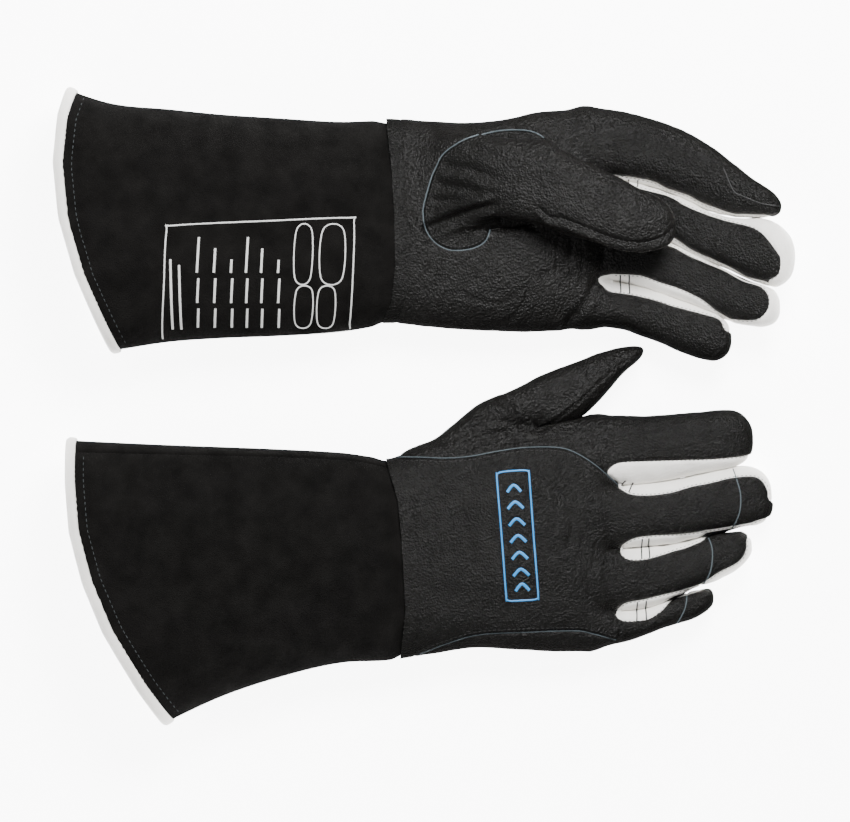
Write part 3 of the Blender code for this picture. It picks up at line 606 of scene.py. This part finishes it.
def vertex_normals(points, triangles):
    a, b, c = (points[triangles[:, i]] for i in range(3))
    face = np.cross(b - a, c - a)
    total = np.zeros_like(points)
    for i in range(3):
        np.add.at(total, triangles[:, i], face)
    return total / np.maximum(np.linalg.norm(total, axis=1), 1e-12)[:, None]


def tree_of(points, triangles):
    return BVHTree.FromPolygons([Vector(p) for p in points], triangles.tolist())


def drape(tree, plan, up=1):
    """Each (x, y) dropped onto the surface: its point and the surface's normal, or None off the surface."""
    found = []
    for x, y in plan:
        at, normal, _, _ = tree.ray_cast(Vector((x, y, 200.0 * up)), Vector((0, 0, -up)))
        found.append(None if at is None else (np.array(at), np.array(normal)))
    return found


def runs(found, jump=4.0):
    """The stretches of a draped line that lie on the surface with no jump."""
    part = []
    for spot in found:
        if spot is None or (part and np.linalg.norm(spot[0] - part[-1][0]) > jump):
            if len(part) > 2:
                yield part
            part = []
        if spot is not None:
            part.append(spot)
    if len(part) > 2:
        yield part


def strip(name, tree, line, width, height, material, closed=False, up=1, lift=0.05):
    """A flat ribbon lying on the surface along a line."""
    dense = smooth_line(line, closed=closed, step=0.9)
    if closed:
        dense = np.vstack([dense, dense[:1]])
    way = np.gradient(dense, axis=0)
    across = np.stack([-way[:, 1], way[:, 0]], axis=1) / np.linalg.norm(way, axis=1)[:, None]
    shares = (-0.5, -0.38, 0.0, 0.38, 0.5)
    rises = (-0.35, height, height * 1.2, height, -0.35)
    found = drape(tree, dense, up)
    points, faces, row = [], [], 0
    for spot, centre, side in zip(found, dense, across):
        ok = spot is not None and spot[1][2] * up > 0.12
        if not ok:
            row = 0
            continue
        at, normal = spot
        along = np.array([side[0], side[1], 0.0])
        along -= normal * (along @ normal)
        along /= np.linalg.norm(along)
        base = len(points)
        points += [at + along * share * width + normal * (rise + lift) for share, rise in zip(shares, rises)]
        if row:
            last = base - 5
            turn = up > 0
            for i in range(4):
                quad = [last + i, base + i, base + i + 1, last + i + 1]
                faces.append(quad if turn else quad[::-1])
        row = 1
    return make_object(name, points, faces, material) if faces else None


# ---------------------------------------------------------------- stitches by Geometry Nodes


def stitch_tree():
    """Instances one stitch on each point, turned to its direction and normal, then makes them real."""
    tree = bpy.data.node_groups.new("stitch_row", "GeometryNodeTree")
    face = tree.interface
    face.new_socket("Geometry", in_out="INPUT", socket_type="NodeSocketGeometry")
    length = face.new_socket("Stitch length", in_out="INPUT", socket_type="NodeSocketFloat")
    thick = face.new_socket("Stitch thickness", in_out="INPUT", socket_type="NodeSocketFloat")
    thread = face.new_socket("Thread", in_out="INPUT", socket_type="NodeSocketMaterial")
    face.new_socket("Geometry", in_out="OUTPUT", socket_type="NodeSocketGeometry")
    new, link = tree.nodes.new, tree.links.new
    start, end = new("NodeGroupInput"), new("NodeGroupOutput")
    ball = new("GeometryNodeMeshUVSphere")
    ball.inputs["Segments"].default_value = 8
    ball.inputs["Rings"].default_value = 6
    ball.inputs["Radius"].default_value = 0.5
    size = new("ShaderNodeCombineXYZ")
    link(start.outputs["Stitch length"], size.inputs["X"])
    link(start.outputs["Stitch thickness"], size.inputs["Y"])
    link(start.outputs["Stitch thickness"], size.inputs["Z"])
    shaped = new("GeometryNodeTransform")
    link(ball.outputs["Mesh"], shaped.inputs["Geometry"])
    link(size.outputs["Vector"], shaped.inputs["Scale"])
    way, out = new("GeometryNodeInputNamedAttribute"), new("GeometryNodeInputNamedAttribute")
    for node, name in ((way, "way"), (out, "out")):
        node.data_type = "FLOAT_VECTOR"
        node.inputs["Name"].default_value = name
    turn, lean = new("FunctionNodeAlignEulerToVector"), new("FunctionNodeAlignEulerToVector")
    turn.axis, lean.axis, lean.pivot_axis = "X", "Z", "X"
    link(way.outputs["Attribute"], turn.inputs["Vector"])
    link(turn.outputs["Rotation"], lean.inputs["Rotation"])
    link(out.outputs["Attribute"], lean.inputs["Vector"])
    place = new("GeometryNodeInstanceOnPoints")
    link(start.outputs["Geometry"], place.inputs["Points"])
    link(shaped.outputs["Geometry"], place.inputs["Instance"])
    link(lean.outputs["Rotation"], place.inputs["Rotation"])
    real = new("GeometryNodeRealizeInstances")
    smooth, paint = new("GeometryNodeSetShadeSmooth"), new("GeometryNodeSetMaterial")
    link(place.outputs["Instances"], real.inputs["Geometry"])
    link(real.outputs["Geometry"], smooth.inputs["Geometry"])
    link(smooth.outputs["Geometry"], paint.inputs["Geometry"])
    link(start.outputs["Thread"], paint.inputs["Material"])
    link(paint.outputs["Geometry"], end.inputs["Geometry"])
    return tree, (length.identifier, thick.identifier, thread.identifier)


def stitches(name, spots, length, thickness, thread, kit):
    """spots: (point, direction, normal) of each stitch."""
    if not spots:
        return None
    tree, (length_id, thick_id, thread_id) = kit
    mesh = bpy.data.meshes.new(name + "_points")
    mesh.from_pydata([tuple(p * MM) for p, _, _ in spots], [], [])
    for attribute, column in (("way", 1), ("out", 2)):
        data = mesh.attributes.new(attribute, "FLOAT_VECTOR", "POINT")
        data.data.foreach_set("vector", np.array([s[column] for s in spots], float).reshape(-1))
    obj = bpy.data.objects.new(name, mesh)
    bpy.context.scene.collection.objects.link(obj)
    modifier = obj.modifiers.new("row", "NODES")
    modifier.node_group = tree
    modifier[length_id], modifier[thick_id], modifier[thread_id] = length * MM, thickness * MM, thread
    bpy.context.view_layer.update()
    made = bpy.data.meshes.new_from_object(obj.evaluated_get(bpy.context.evaluated_depsgraph_get()))
    obj.modifiers.remove(modifier)
    obj.data = made
    made.name = name
    return obj


def row_of(tree, line, pitch, up=1, lift=0.1, offset=0.0):
    """Stitch places along a line on the surface."""
    dense = smooth_line(line, step=0.25)
    lengths = np.concatenate([[0], np.cumsum(np.linalg.norm(np.diff(dense, axis=0), axis=1))])
    at = np.arange(pitch / 2, lengths[-1], pitch)
    plan = np.stack([np.interp(at, lengths, dense[:, i]) for i in range(2)], axis=1)
    if offset:
        way = np.gradient(plan, axis=0)
        plan = plan + offset * np.stack([-way[:, 1], way[:, 0]], 1) / np.linalg.norm(way, axis=1)[:, None]
    spots = []
    for run in runs(drape(tree, plan, up), jump=pitch * 3):
        places = np.array([p for p, _ in run])
        ways = np.gradient(places, axis=0)
        for (p, n), w in zip(run, ways):
            spots.append((p + n * lift, w / max(np.linalg.norm(w), 1e-9), n))
    return spots


# ---------------------------------------------------------------- materials


def base_material(name, colour, roughness):
    material = bpy.data.materials.new(name)
    material.use_nodes = True
    shader = material.node_tree.nodes["Principled BSDF"]
    shader.inputs["Base Color"].default_value = (*colour, 1)
    shader.inputs["Roughness"].default_value = roughness
    return material, material.node_tree, shader


def leather(name, colour, roughness, grain, strength, mottle=0.25, specular=0.5):
    """Leather: a mottled colour, a pebbled or fuzzy surface."""
    material, tree, shader = base_material(name, colour, roughness)
    new, link = tree.nodes.new, tree.links.new
    place = new("ShaderNodeTexCoord")
    soft = new("ShaderNodeTexNoise")
    soft.inputs["Scale"].default_value = 90.0
    soft.inputs["Detail"].default_value = 4.0
    link(place.outputs["Object"], soft.inputs["Vector"])
    ramp = new("ShaderNodeValToRGB")
    ramp.color_ramp.elements[0].position, ramp.color_ramp.elements[1].position = 0.3, 0.75
    ramp.color_ramp.elements[0].color = (*[c * (1 - mottle) for c in colour], 1)
    ramp.color_ramp.elements[1].color = (*[min(1, c * (1 + mottle)) for c in colour], 1)
    link(soft.outputs["Fac"], ramp.inputs["Fac"])
    link(ramp.outputs["Color"], shader.inputs["Base Color"])
    pebble = new("ShaderNodeTexVoronoi")
    pebble.inputs["Scale"].default_value = grain
    link(place.outputs["Object"], pebble.inputs["Vector"])
    fine = new("ShaderNodeTexNoise")
    fine.inputs["Scale"].default_value = grain * 1.7
    fine.inputs["Detail"].default_value = 5.0
    link(place.outputs["Object"], fine.inputs["Vector"])
    add = new("ShaderNodeMath")
    add.operation = "ADD"
    link(pebble.outputs["Distance"], add.inputs[0])
    link(fine.outputs["Fac"], add.inputs[1])
    bump = new("ShaderNodeBump")
    bump.inputs["Strength"].default_value = strength
    bump.inputs["Distance"].default_value = 0.0004
    link(add.outputs["Value"], bump.inputs["Height"])
    link(bump.outputs["Normal"], shader.inputs["Normal"])
    shader.inputs["Specular IOR Level"].default_value = specular
    shader.inputs["IOR"].default_value = 1.4
    return material


BACK_LEATHER = leather("black_back_leather", (0.0038, 0.0036, 0.0032), 0.34, 850.0, 1.4, specular=0.25)
PALM_LEATHER = leather("black_palm_leather", (0.0044, 0.0041, 0.0037), 0.35, 760.0, 1.5, specular=0.27)
SUEDE = leather("black_split_suede", (0.0051, 0.0048, 0.0045), 0.95, 1300.0, 0.9, mottle=0.35, specular=0.08)
WHITE = leather("white_strip_leather", (0.84, 0.82, 0.78), 0.62, 900.0, 0.35, mottle=0.06)
LINING = leather("grey_lining_cloth", (0.20, 0.20, 0.205), 0.95, 1500.0, 0.6, mottle=0.15)
EDGE, _, _ = base_material("cut_edge_grey_blue", (0.060, 0.078, 0.088), 0.75)
BLACK_THREAD, _, _ = base_material("black_thread", (0.012, 0.012, 0.012), 0.6)
GREY_THREAD, _, _ = base_material("grey_thread", (0.030, 0.036, 0.038), 0.8)
BLUE_INK, _, _ = base_material("blue_ink", (0.02, 0.22, 0.55), 0.45)
WHITE_INK, _, _ = base_material("white_ink", (0.55, 0.55, 0.54), 0.6)


# ---------------------------------------------------------------- the hand, fingers and thumb


def bounds_of(rows, pad=6.0):
    t = np.asarray(rows, float)
    top = (t[:, 3] + t[:, 4]).max() if t.shape[1] == 5 else (2 * t[:, 3]).max()
    bottom = min(0.0, (t[:, 3] - t[:, 4]).min()) if t.shape[1] == 5 else 0.0
    return [t[:, 1].min() - pad, bottom - pad], [t[:, 2].max() + pad, top + pad]


def hold(obj, side, part):
    """Bakes a piece's placement into its mesh; every part is treated the same."""
    if part == "hand":
        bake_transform(obj)
    elif part == "thumb":
        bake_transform(obj)
    else:
        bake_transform(obj)
    return obj


def make_surface(side, part, shape, low, high, keep_from):
    """Meshes one part of the glove, cuts it along its seams, and presses in its folds."""
    glove = GLOVES[side]
    points, normals, triangles = meshed(shape, low, high)
    rows = np.hstack([points, normals, fields_at(glove, points, normals)])
    rows = np.hstack([rows, keep_from(points)[:, None]])
    columns = {"hand": (6, 7, 8, 9), "thumb": (6,)}.get(part, (6,))
    for column in (*columns, rows.shape[1] - 1):
        rows, triangles = split_on(rows, triangles, column)
    base, normals, fields = rows[:, :3], rows[:, 3:6], rows[:, 6:11]
    normals = normals / np.maximum(np.linalg.norm(normals, axis=1), 1e-6)[:, None]
    final = base + normals * pressed(glove, base, normals, fields, part)[:, None]
    final[:, 2] = np.maximum(final[:, 2], 0.25)
    smooth = vertex_normals(final, triangles)
    middle = rows[triangles].mean(axis=1)
    kept = middle[:, -1] > 0
    if part == "hand":
        kept &= middle[:, 9] > 0
    return final, smooth, triangles, middle, kept


def make_hand(side):
    glove = GLOVES[side]
    low, high = bounds_of(glove["hand"])
    if glove["palm_up"]:
        high[1] = 72.0
    else:
        high[0] = max(high[0], 20.0)
    shape = hand_shape(glove)
    final, smooth, triangles, middle, kept = make_surface(
        side, "hand", shape, (-34, *low), (glove["cut"] + 6, *high), lambda p: glove["cut"] - p[:, 0])
    white, panel, band = middle[:, 6] < 0, middle[:, 7] < 0, middle[:, 8] < 0
    pieces = {
        "wrist_band_leather": (kept & band, BACK_LEATHER, "grain_leather", []),
        "finger_root_white_leather": (kept & ~band & white, WHITE, "white_leather", []),
        "back_leather": (kept & ~band & ~white & panel, BACK_LEATHER, "grain_leather", []),
        "palm_leather": (kept & ~band & ~white & ~panel, PALM_LEATHER, "grain_leather", []),
    }
    if glove["palm_up"]:
        pieces["thumb_base_leather"] = pieces.pop("back_leather")
    for name, (keep, material, slot, _) in pieces.items():
        obj = part_of(f"{side}_{name}", final, triangles, keep, material, smooth)
        hold(obj, side, "hand")
    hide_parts(f"{side}_hand_palm", f"{side}_hand_back", f"{side}_thumb_wing")
    return tree_of(final, triangles[kept])


def make_finger(side, finger):
    glove = GLOVES[side]
    rows, end, _ = glove["digits"][finger]
    shape = finger_shape(glove, finger)
    low, high = bounds_of(rows, 4.0)
    start = glove["cut"] - 2.5
    final, smooth, triangles, middle, kept = make_surface(
        side, finger, shape, (start - 3, *low), (end + 4, *high), lambda p: p[:, 0] - start)
    white = middle[:, 6] < 0
    black = part_of(f"{side}_{finger}_black_leather", final, triangles, kept & ~white, BACK_LEATHER, smooth)
    pale = part_of(f"{side}_{finger}_white_leather", final, triangles, kept & white, WHITE, smooth)
    for obj, slot in ((black, "grain_leather"), (pale, "white_leather")):
        hold(obj, side, finger)
    if finger == "index":
        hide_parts(f"{side}_index_wrap")
    else:
        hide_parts(f"{side}_{finger}_back", f"{side}_{finger}_palm", f"{side}_{finger}_tip_cap")
    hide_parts(f"{side}_{finger}_side_strip")
    return tree_of(final, triangles[kept])


def make_thumb(side):
    glove = GLOVES[side]
    rows, end, _ = glove["thumb"]
    shape = thumb_shape(glove)
    low, high = bounds_of(rows, 4.0)
    (fx, fy), (wx, wy) = glove["thumb_from"], glove["thumb_way"]
    final, smooth, triangles, _, kept = make_surface(
        side, "thumb", shape, (fx - 30, *low), (end + 4, *high),
        lambda p: (p[:, 0] - fx) * wx + (p[:, 1] - fy) * wy)
    obj = part_of(f"{side}_thumb_leather", final, triangles, kept, PALM_LEATHER, smooth)
    hold(obj, side, "thumb")
    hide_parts(f"{side}_thumb_back", f"{side}_thumb_front")
    return tree_of(final, triangles[kept])


# ---------------------------------------------------------------- the cuff


def round_section(degrees):
    """Across and up, between -1 and 1, on a rounded rectangle."""
    a = np.radians(degrees)
    return (np.sign(t) * np.abs(t) ** 0.8 for t in (np.cos(a), np.sin(a)))


def cuff_point(glove, x, degrees, inset):
    """Points on the cuff, at distances x along it and at angles round it, set in from its face."""
    x, degrees, inset = np.broadcast_arrays(np.asarray(x, float), degrees, inset)
    low, high, half = curve_at(glove["cuff"], x)
    across, rise = round_section(degrees)
    y = (low + high) / 2 + across * ((high - low) / 2 - inset)
    z = np.maximum(half - 0.6 + rise * (half - inset), 0.3 + inset)
    calm = 1 - 0.8 * fade(x, -40, -15)
    plan = np.stack([x, y, 0 * x], axis=-1)
    z = z + calm * (0.9 * ripple(plan, 55.0, 21) + 0.35 * ripple(plan, 16.0, 23)) * np.maximum(rise, 0)
    return np.stack([x, y, z], axis=-1)


def cuff_mouth(glove, degrees):
    """Where the cuff ends, at angles round it."""
    x = np.full(np.shape(degrees), -175.0)
    for _ in range(12):
        y = cuff_point(glove, x, degrees, 0)[..., 1]
        x = 0.5 * x + 0.5 * np.interp(y, *np.array(glove["mouth"]).T)
    return x


def sheet(name, outer, inner, material, closed):
    """A closed shell from an outer and an inner grid of points (rows along, columns round)."""
    outer, inner = np.array(outer), np.array(inner)
    rows, columns = outer.shape[:2]
    points = np.concatenate([outer.reshape(-1, 3), inner.reshape(-1, 3)])
    faces, n = [], rows * columns
    last = columns if closed else columns - 1
    for i in range(rows - 1):
        for j in range(last):
            k = (j + 1) % columns
            a, b, c, d = i * columns + j, (i + 1) * columns + j, (i + 1) * columns + k, i * columns + k
            faces += [[a, d, c, b], [n + a, n + b, n + c, n + d]]
    for j in range(last):
        k = (j + 1) % columns
        faces += [[j, n + j, n + k, k]]
        e = (rows - 1) * columns
        faces += [[e + j, e + k, n + e + k, n + e + j]]
    if not closed:
        for i in range(rows - 1):
            a, b = i * columns, (i + 1) * columns
            faces += [[a, b, n + b, n + a]]
            a, b = a + columns - 1, b + columns - 1
            faces += [[a, n + a, n + b, b]]
    return make_object(name, points, faces, material)


BINDING_SECTION = ((4.9, -0.2), (4.7, -1.3), (3.2, -1.8), (1.2, -1.7), (-0.3, -0.6),  # along, inset
                   (-0.5, 0.8), (-0.1, 2.2), (1.5, 3.2), (4.0, 3.4), (4.6, 2.4))
STITCH_ROW_IN = 9.5  # how far in from the mouth the cuff's row of stitches runs


def make_cuff(side, kit):
    glove = GLOVES[side]
    ends = np.array(glove["wrist"])
    panels = {"cuff_back_panel": (22.0, 180.0), "cuff_palm_panel": (180.0, 382.0)}
    if glove["palm_up"]:
        panels = {"cuff_palm_panel": (2.0, 180.0), "cuff_back_panel": (180.0, 362.0)}
    everything, faces = [], []
    for name, (low, high) in panels.items():
        angles = np.linspace(low + 0.03, high - 0.03, 110)
        shares = np.linspace(0, 1, 96)[:, None]
        start = cuff_mouth(glove, angles) + 3.0
        stop = np.interp(cuff_point(glove, -16.0, angles, 0)[..., 1], ends[:, 0], ends[:, 1]) + 3.5
        x = start + shares * (stop - start)
        edge = np.minimum(angles - low, high - angles)
        lip = 0.9 * np.exp(-((edge / 1.1) ** 2)) + 1.6 * fade(shares, 0.93, 0.985)
        outer, inner = cuff_point(glove, x, angles, lip), cuff_point(glove, x, angles, 2.0 + lip)
        obj = sheet(f"{side}_{name}", outer, inner, SUEDE, closed=False)
        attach(obj, f"{side}_cuff")
        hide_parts(f"{side}_{name}")
        grid = np.array(outer)
        base = len(everything)
        everything += list(grid.reshape(-1, 3))
        r, c = grid.shape[:2]
        i, j = np.meshgrid(np.arange(r - 1), np.arange(c - 1), indexing="ij")
        a = base + (i * c + j).reshape(-1)
        faces += np.stack([a, a + 1, a + c + 1, a + c], 1).tolist()
    tree = BVHTree.FromPolygons([Vector(p) for p in everything], faces)

    outer, round_mouth = [], np.arange(0, 360, 1.5)
    mouth = cuff_mouth(glove, round_mouth)
    for share, inset in BINDING_SECTION:
        wave = 0.2 * np.sin(round_mouth * 1.9) if share > 3.5 else 0.0
        outer.append(cuff_point(glove, mouth + share + wave, round_mouth, inset))
    obj = sheet_ring(f"{side}_cuff_binding", np.array(outer), WHITE)
    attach(obj, f"{side}_cuff")
    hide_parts(f"{side}_cuff_binding")

    spots = []
    for side_up in (1, -1):
        angles = np.linspace(12, 168, 40) * side_up
        line = cuff_point(glove, cuff_mouth(glove, angles) + STITCH_ROW_IN, angles, 0)[:, :2]
        spots += row_of(tree, line, 3.0, up=side_up, lift=0.05)
    thread = stitches(f"{side}_cuff_stitches", spots, 2.1, 0.45, GREY_THREAD, kit)
    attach(thread, f"{side}_cuff")
    return tree


def sheet_ring(name, grid, material):
    """A closed rope of sections: rows go round the section, columns go round the mouth."""
    rows, columns = grid.shape[:2]
    faces = []
    for i in range(rows):
        for j in range(columns):
            a, b = i * columns + j, ((i + 1) % rows) * columns + j
            k = (j + 1) % columns
            c, d = ((i + 1) % rows) * columns + k, i * columns + k
            faces.append([a, b, c, d])
    return make_object(name, grid.reshape(-1, 3), faces, material)


# ---------------------------------------------------------------- build


def add_piece(obj, side, part):
    if obj is not None:
        hold(obj, side, part) if part != "cuff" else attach(obj, f"{side}_cuff")
    return obj


def right_details(hand, kit):
    """The seams on the back of the right hand and the blue mark."""
    glove = GLOVES["right"]
    panel = glove["panel"]
    radial = panel[1:13]
    ulnar = panel[16:24]
    add_piece(strip("right_radial_seam_edge", hand, radial, 0.6, 0.22, EDGE), "right", "hand")
    add_piece(strip("right_ulnar_seam_edge", hand, ulnar, 0.6, 0.22, EDGE), "right", "hand")
    spots = row_of(hand, radial, 2.6, offset=-1.8, lift=0.02)
    spots += row_of(hand, ulnar, 2.6, offset=-1.8, lift=0.02)
    add_piece(stitches("right_hand_back_stitches", spots, 1.8, 0.4, BLACK_THREAD, kit), "right", "hand")
    frame = [(38, -38.5), (38.4, -36.4), (40.6, -35.4), (46, -34.8), (52.4, -34.5), (54.8, -35),
             (55.4, -37.4), (57.6, -68), (60.2, -101), (59.8, -103.2), (57.8, -104), (52, -104.3),
             (46, -104.6), (43.6, -104),
             (43, -101.6), (40.4, -68)]
    add_piece(strip("right_back_mark_frame", hand, frame, 1.15, 0.1, BLUE_INK, closed=True), "right",
              "hand")
    chevrons = ((-44, 8), (-53, 9), (-62, 9), (-71, 9), (-80, 9), (-89, 9), (-97, 8))
    for number, (y, wide) in enumerate(chevrons):
        x = 47.0 + (-44 - y) * 0.085
        bar = [(x - wide / 2 + 0.6, y - 2.2), (x, y + 1.6), (x + wide / 2, y - 1.8)]
        add_piece(strip(f"right_back_mark_bar_{number}", hand, bar, 1.9, 0.12, BLUE_INK), "right", "hand")


def left_details(hand, thumb, cuff, kit):
    """The keyhole seam round the left thumb, its welt, and the white print on the cuff."""
    glove = GLOVES["left"]
    keyhole = glove["panel"][:18]
    add_piece(strip("left_thumb_seam_edge", hand, keyhole, 0.8, 0.2, EDGE), "left", "hand")
    spots = row_of(hand, keyhole, 2.5, offset=1.8, lift=0.02)
    for line in ([(-4, 133), (-6.5, 124), (-8.5, 114)], [(-0.5, 133), (-2, 127), (-3, 121)]):
        spots += row_of(hand, line, 2.4, lift=0.1)
    add_piece(stitches("left_palm_stitches", spots, 1.7, 0.5, BLACK_THREAD, kit), "left", "hand")
    welt = row_of(thumb, LEFT_WELT, 3.0, lift=0.3)
    add_piece(stitches("left_thumb_stitches", welt, 1.9, 0.55, BLACK_THREAD, kit), "left", "thumb")
    frame = [(-138, 93), (-134, 96), (-88, 98.5), (-42, 100.5), (-38.5, 98), (-39, 72), (-41, 44),
             (-44, 40.5),
             (-92, 36.5), (-138, 33), (-141, 36), (-139.5, 64)]
    add_piece(strip("left_cuff_print_frame", cuff, frame, 1.0, 0.12, WHITE_INK, closed=True), "left",
              "cuff")
    lines = [[(-136 + 4.6 * k, 78 - 3.0 * (k % 2)), (-135.4 + 4.6 * k, 41)] for k in (0, 1)]
    for k, x in enumerate((-122, -113, -104, -96, -88, -79)):
        for low, high in ((42, 52), (55, 68), (71, 90 - 6 * (k % 3))):
            lines.append([(x, low), (x + (high - low) * 0.06, high)])
    for k in (0, 12):
        lines.append([(-70 + k, 44), (-69 + k, 62), (-61 + k, 62), (-62 + k, 44)])
    lines += [[(-70, 68), (-69, 94), (-61, 94), (-62, 68)], [(-56, 68), (-55, 94), (-44, 94), (-45, 68)]]
    for number, line in enumerate(lines):
        closed = len(line) == 4
        piece = strip(f"left_cuff_print_bar_{number}", cuff, line, 0.9 if closed else 1.5, 0.12, WHITE_INK,
                      closed=closed)
        add_piece(piece, "left", "cuff")


def finger_stitches(side, trees, hand, kit):
    """Black stitches along the white strips, the doubled ones at their ends, and the tip seams."""
    glove = GLOVES[side]
    for number, (finger, line) in enumerate(glove["crosses"]):
        add_piece(strip(f"{side}_{finger}_cross_stitch_{number}", trees[finger], line, 0.8, 0.25,
                        BLACK_THREAD, lift=0.1),
                  side, finger)
    for finger, line in glove["caps"]:
        edge = EDGE if side == "right" else BLACK_THREAD
        add_piece(strip(f"{side}_{finger}_tip_seam_edge", trees[finger], line, 0.7, 0.2, edge), side,
                  finger)
    for number, outline in enumerate(glove["white"]):
        line = smooth_line(outline, closed=True, step=2.0)
        for finger in FINGERS[number:number + 2]:
            rows, end, _ = glove["digits"][finger]
            spots = []
            for up in (1, -1):
                spots += row_of(trees[finger], np.vstack([line, line[:1]]), 2.3, up=up, lift=-0.15)
            spots = [s for s in spots if abs(s[2][2]) > 0.25 and s[0][0] > glove["cut"]]
            name = f"{side}_{finger}_stitches_{'lower' if number == FINGERS.index(finger) else 'upper'}"
            add_piece(stitches(name, spots, 1.7, 0.5, BLACK_THREAD, kit), side, finger)


def build():
    kit = stitch_tree()
    for side in GLOVES:
        hand = make_hand(side)
        fingers = {finger: make_finger(side, finger) for finger in FINGERS}
        thumb = make_thumb(side)
        cuff = make_cuff(side, kit)
        finger_stitches(side, fingers, hand, kit)
        if side == "right":
            right_details(hand, kit)
        else:
            left_details(hand, thumb, cuff, kit)
        make_lining(side)


def make_lining(side):
    """The grey cloth inside the hand, seen through the cuff."""
    glove = GLOVES[side]
    outer, inner = [], []
    for x in np.linspace(-9, 70, 14):
        low, high, half = curve_at(glove["hand"], np.array([x]))[:, 0]
        out, inn = [], []
        for degrees in np.arange(0, 360, 7.5):
            a = math.radians(degrees)
            across = math.copysign(abs(math.cos(a)) ** 0.8, math.cos(a))
            rise = math.copysign(abs(math.sin(a)) ** 0.8, math.sin(a))
            for inset, row in ((5.5, out), (7.0, inn)):
                row.append(((x), (low + high) / 2 + across * ((high - low) / 2 - inset),
                            half - 0.6 + rise * (half - inset)))
        outer.append(out)
        inner.append(inn)
    obj = sheet(f"{side}_palm_lining", outer, inner, LINING, closed=True)
    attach(obj, f"{side}_hand")
    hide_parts(f"{side}_palm_pad")


FLOOR_SIDE, FLOOR_DROP, FLOOR_GLOW = 24.0, 0.0006, 8.0
WORLD_GLOW = 0.16
LAMPS = (("key_light", (0.25, 0.6, 0.95), 0.42, 33.0),  # name, place, side, watts
         ("fill_light", (-0.7, -0.5, 0.9), 0.7, 9.0))
LENS, SENSOR = 200.0, 36.0
CAMERA_PLACE = (-0.0005, -0.0027, 2.572)


def studio():
    """The floor, the soft light and a camera straight above."""
    floor_material, _, _ = base_material("pale_floor", (0.95, 0.95, 0.95), 0.9)
    shader = floor_material.node_tree.nodes["Principled BSDF"]
    shader.inputs["Emission Color"].default_value = (1, 1, 1, 1)
    shader.inputs["Emission Strength"].default_value = FLOOR_GLOW
    bpy.ops.mesh.primitive_plane_add(size=FLOOR_SIDE, location=(0, 0, -FLOOR_DROP))
    floor = bpy.context.object
    floor.name = "floor"
    floor.data.materials.append(floor_material)
    floor.visible_glossy = False  # the bright floor would edge the black leather with a pale rim
    world = bpy.data.worlds.new("studio")
    bpy.context.scene.world = world
    world.use_nodes = True
    world.node_tree.nodes["Background"].inputs["Color"].default_value = (1, 1, 1, 1)
    world.node_tree.nodes["Background"].inputs["Strength"].default_value = WORLD_GLOW
    for name, place, size, power in LAMPS:
        data = bpy.data.lights.new(name, "AREA")
        data.size, data.energy = size, power
        lamp = bpy.data.objects.new(name, data)
        lamp.location = place
        lamp.rotation_euler = (-Vector(place)).to_track_quat("-Z", "Y").to_euler()
        bpy.context.scene.collection.objects.link(lamp)
    data = bpy.data.cameras.new("camera")
    data.lens, data.sensor_width = LENS, SENSOR
    camera = bpy.data.objects.new("camera", data)
    camera.location = CAMERA_PLACE
    bpy.context.scene.collection.objects.link(camera)
    bpy.context.scene.camera = camera


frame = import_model()
build()
studio()
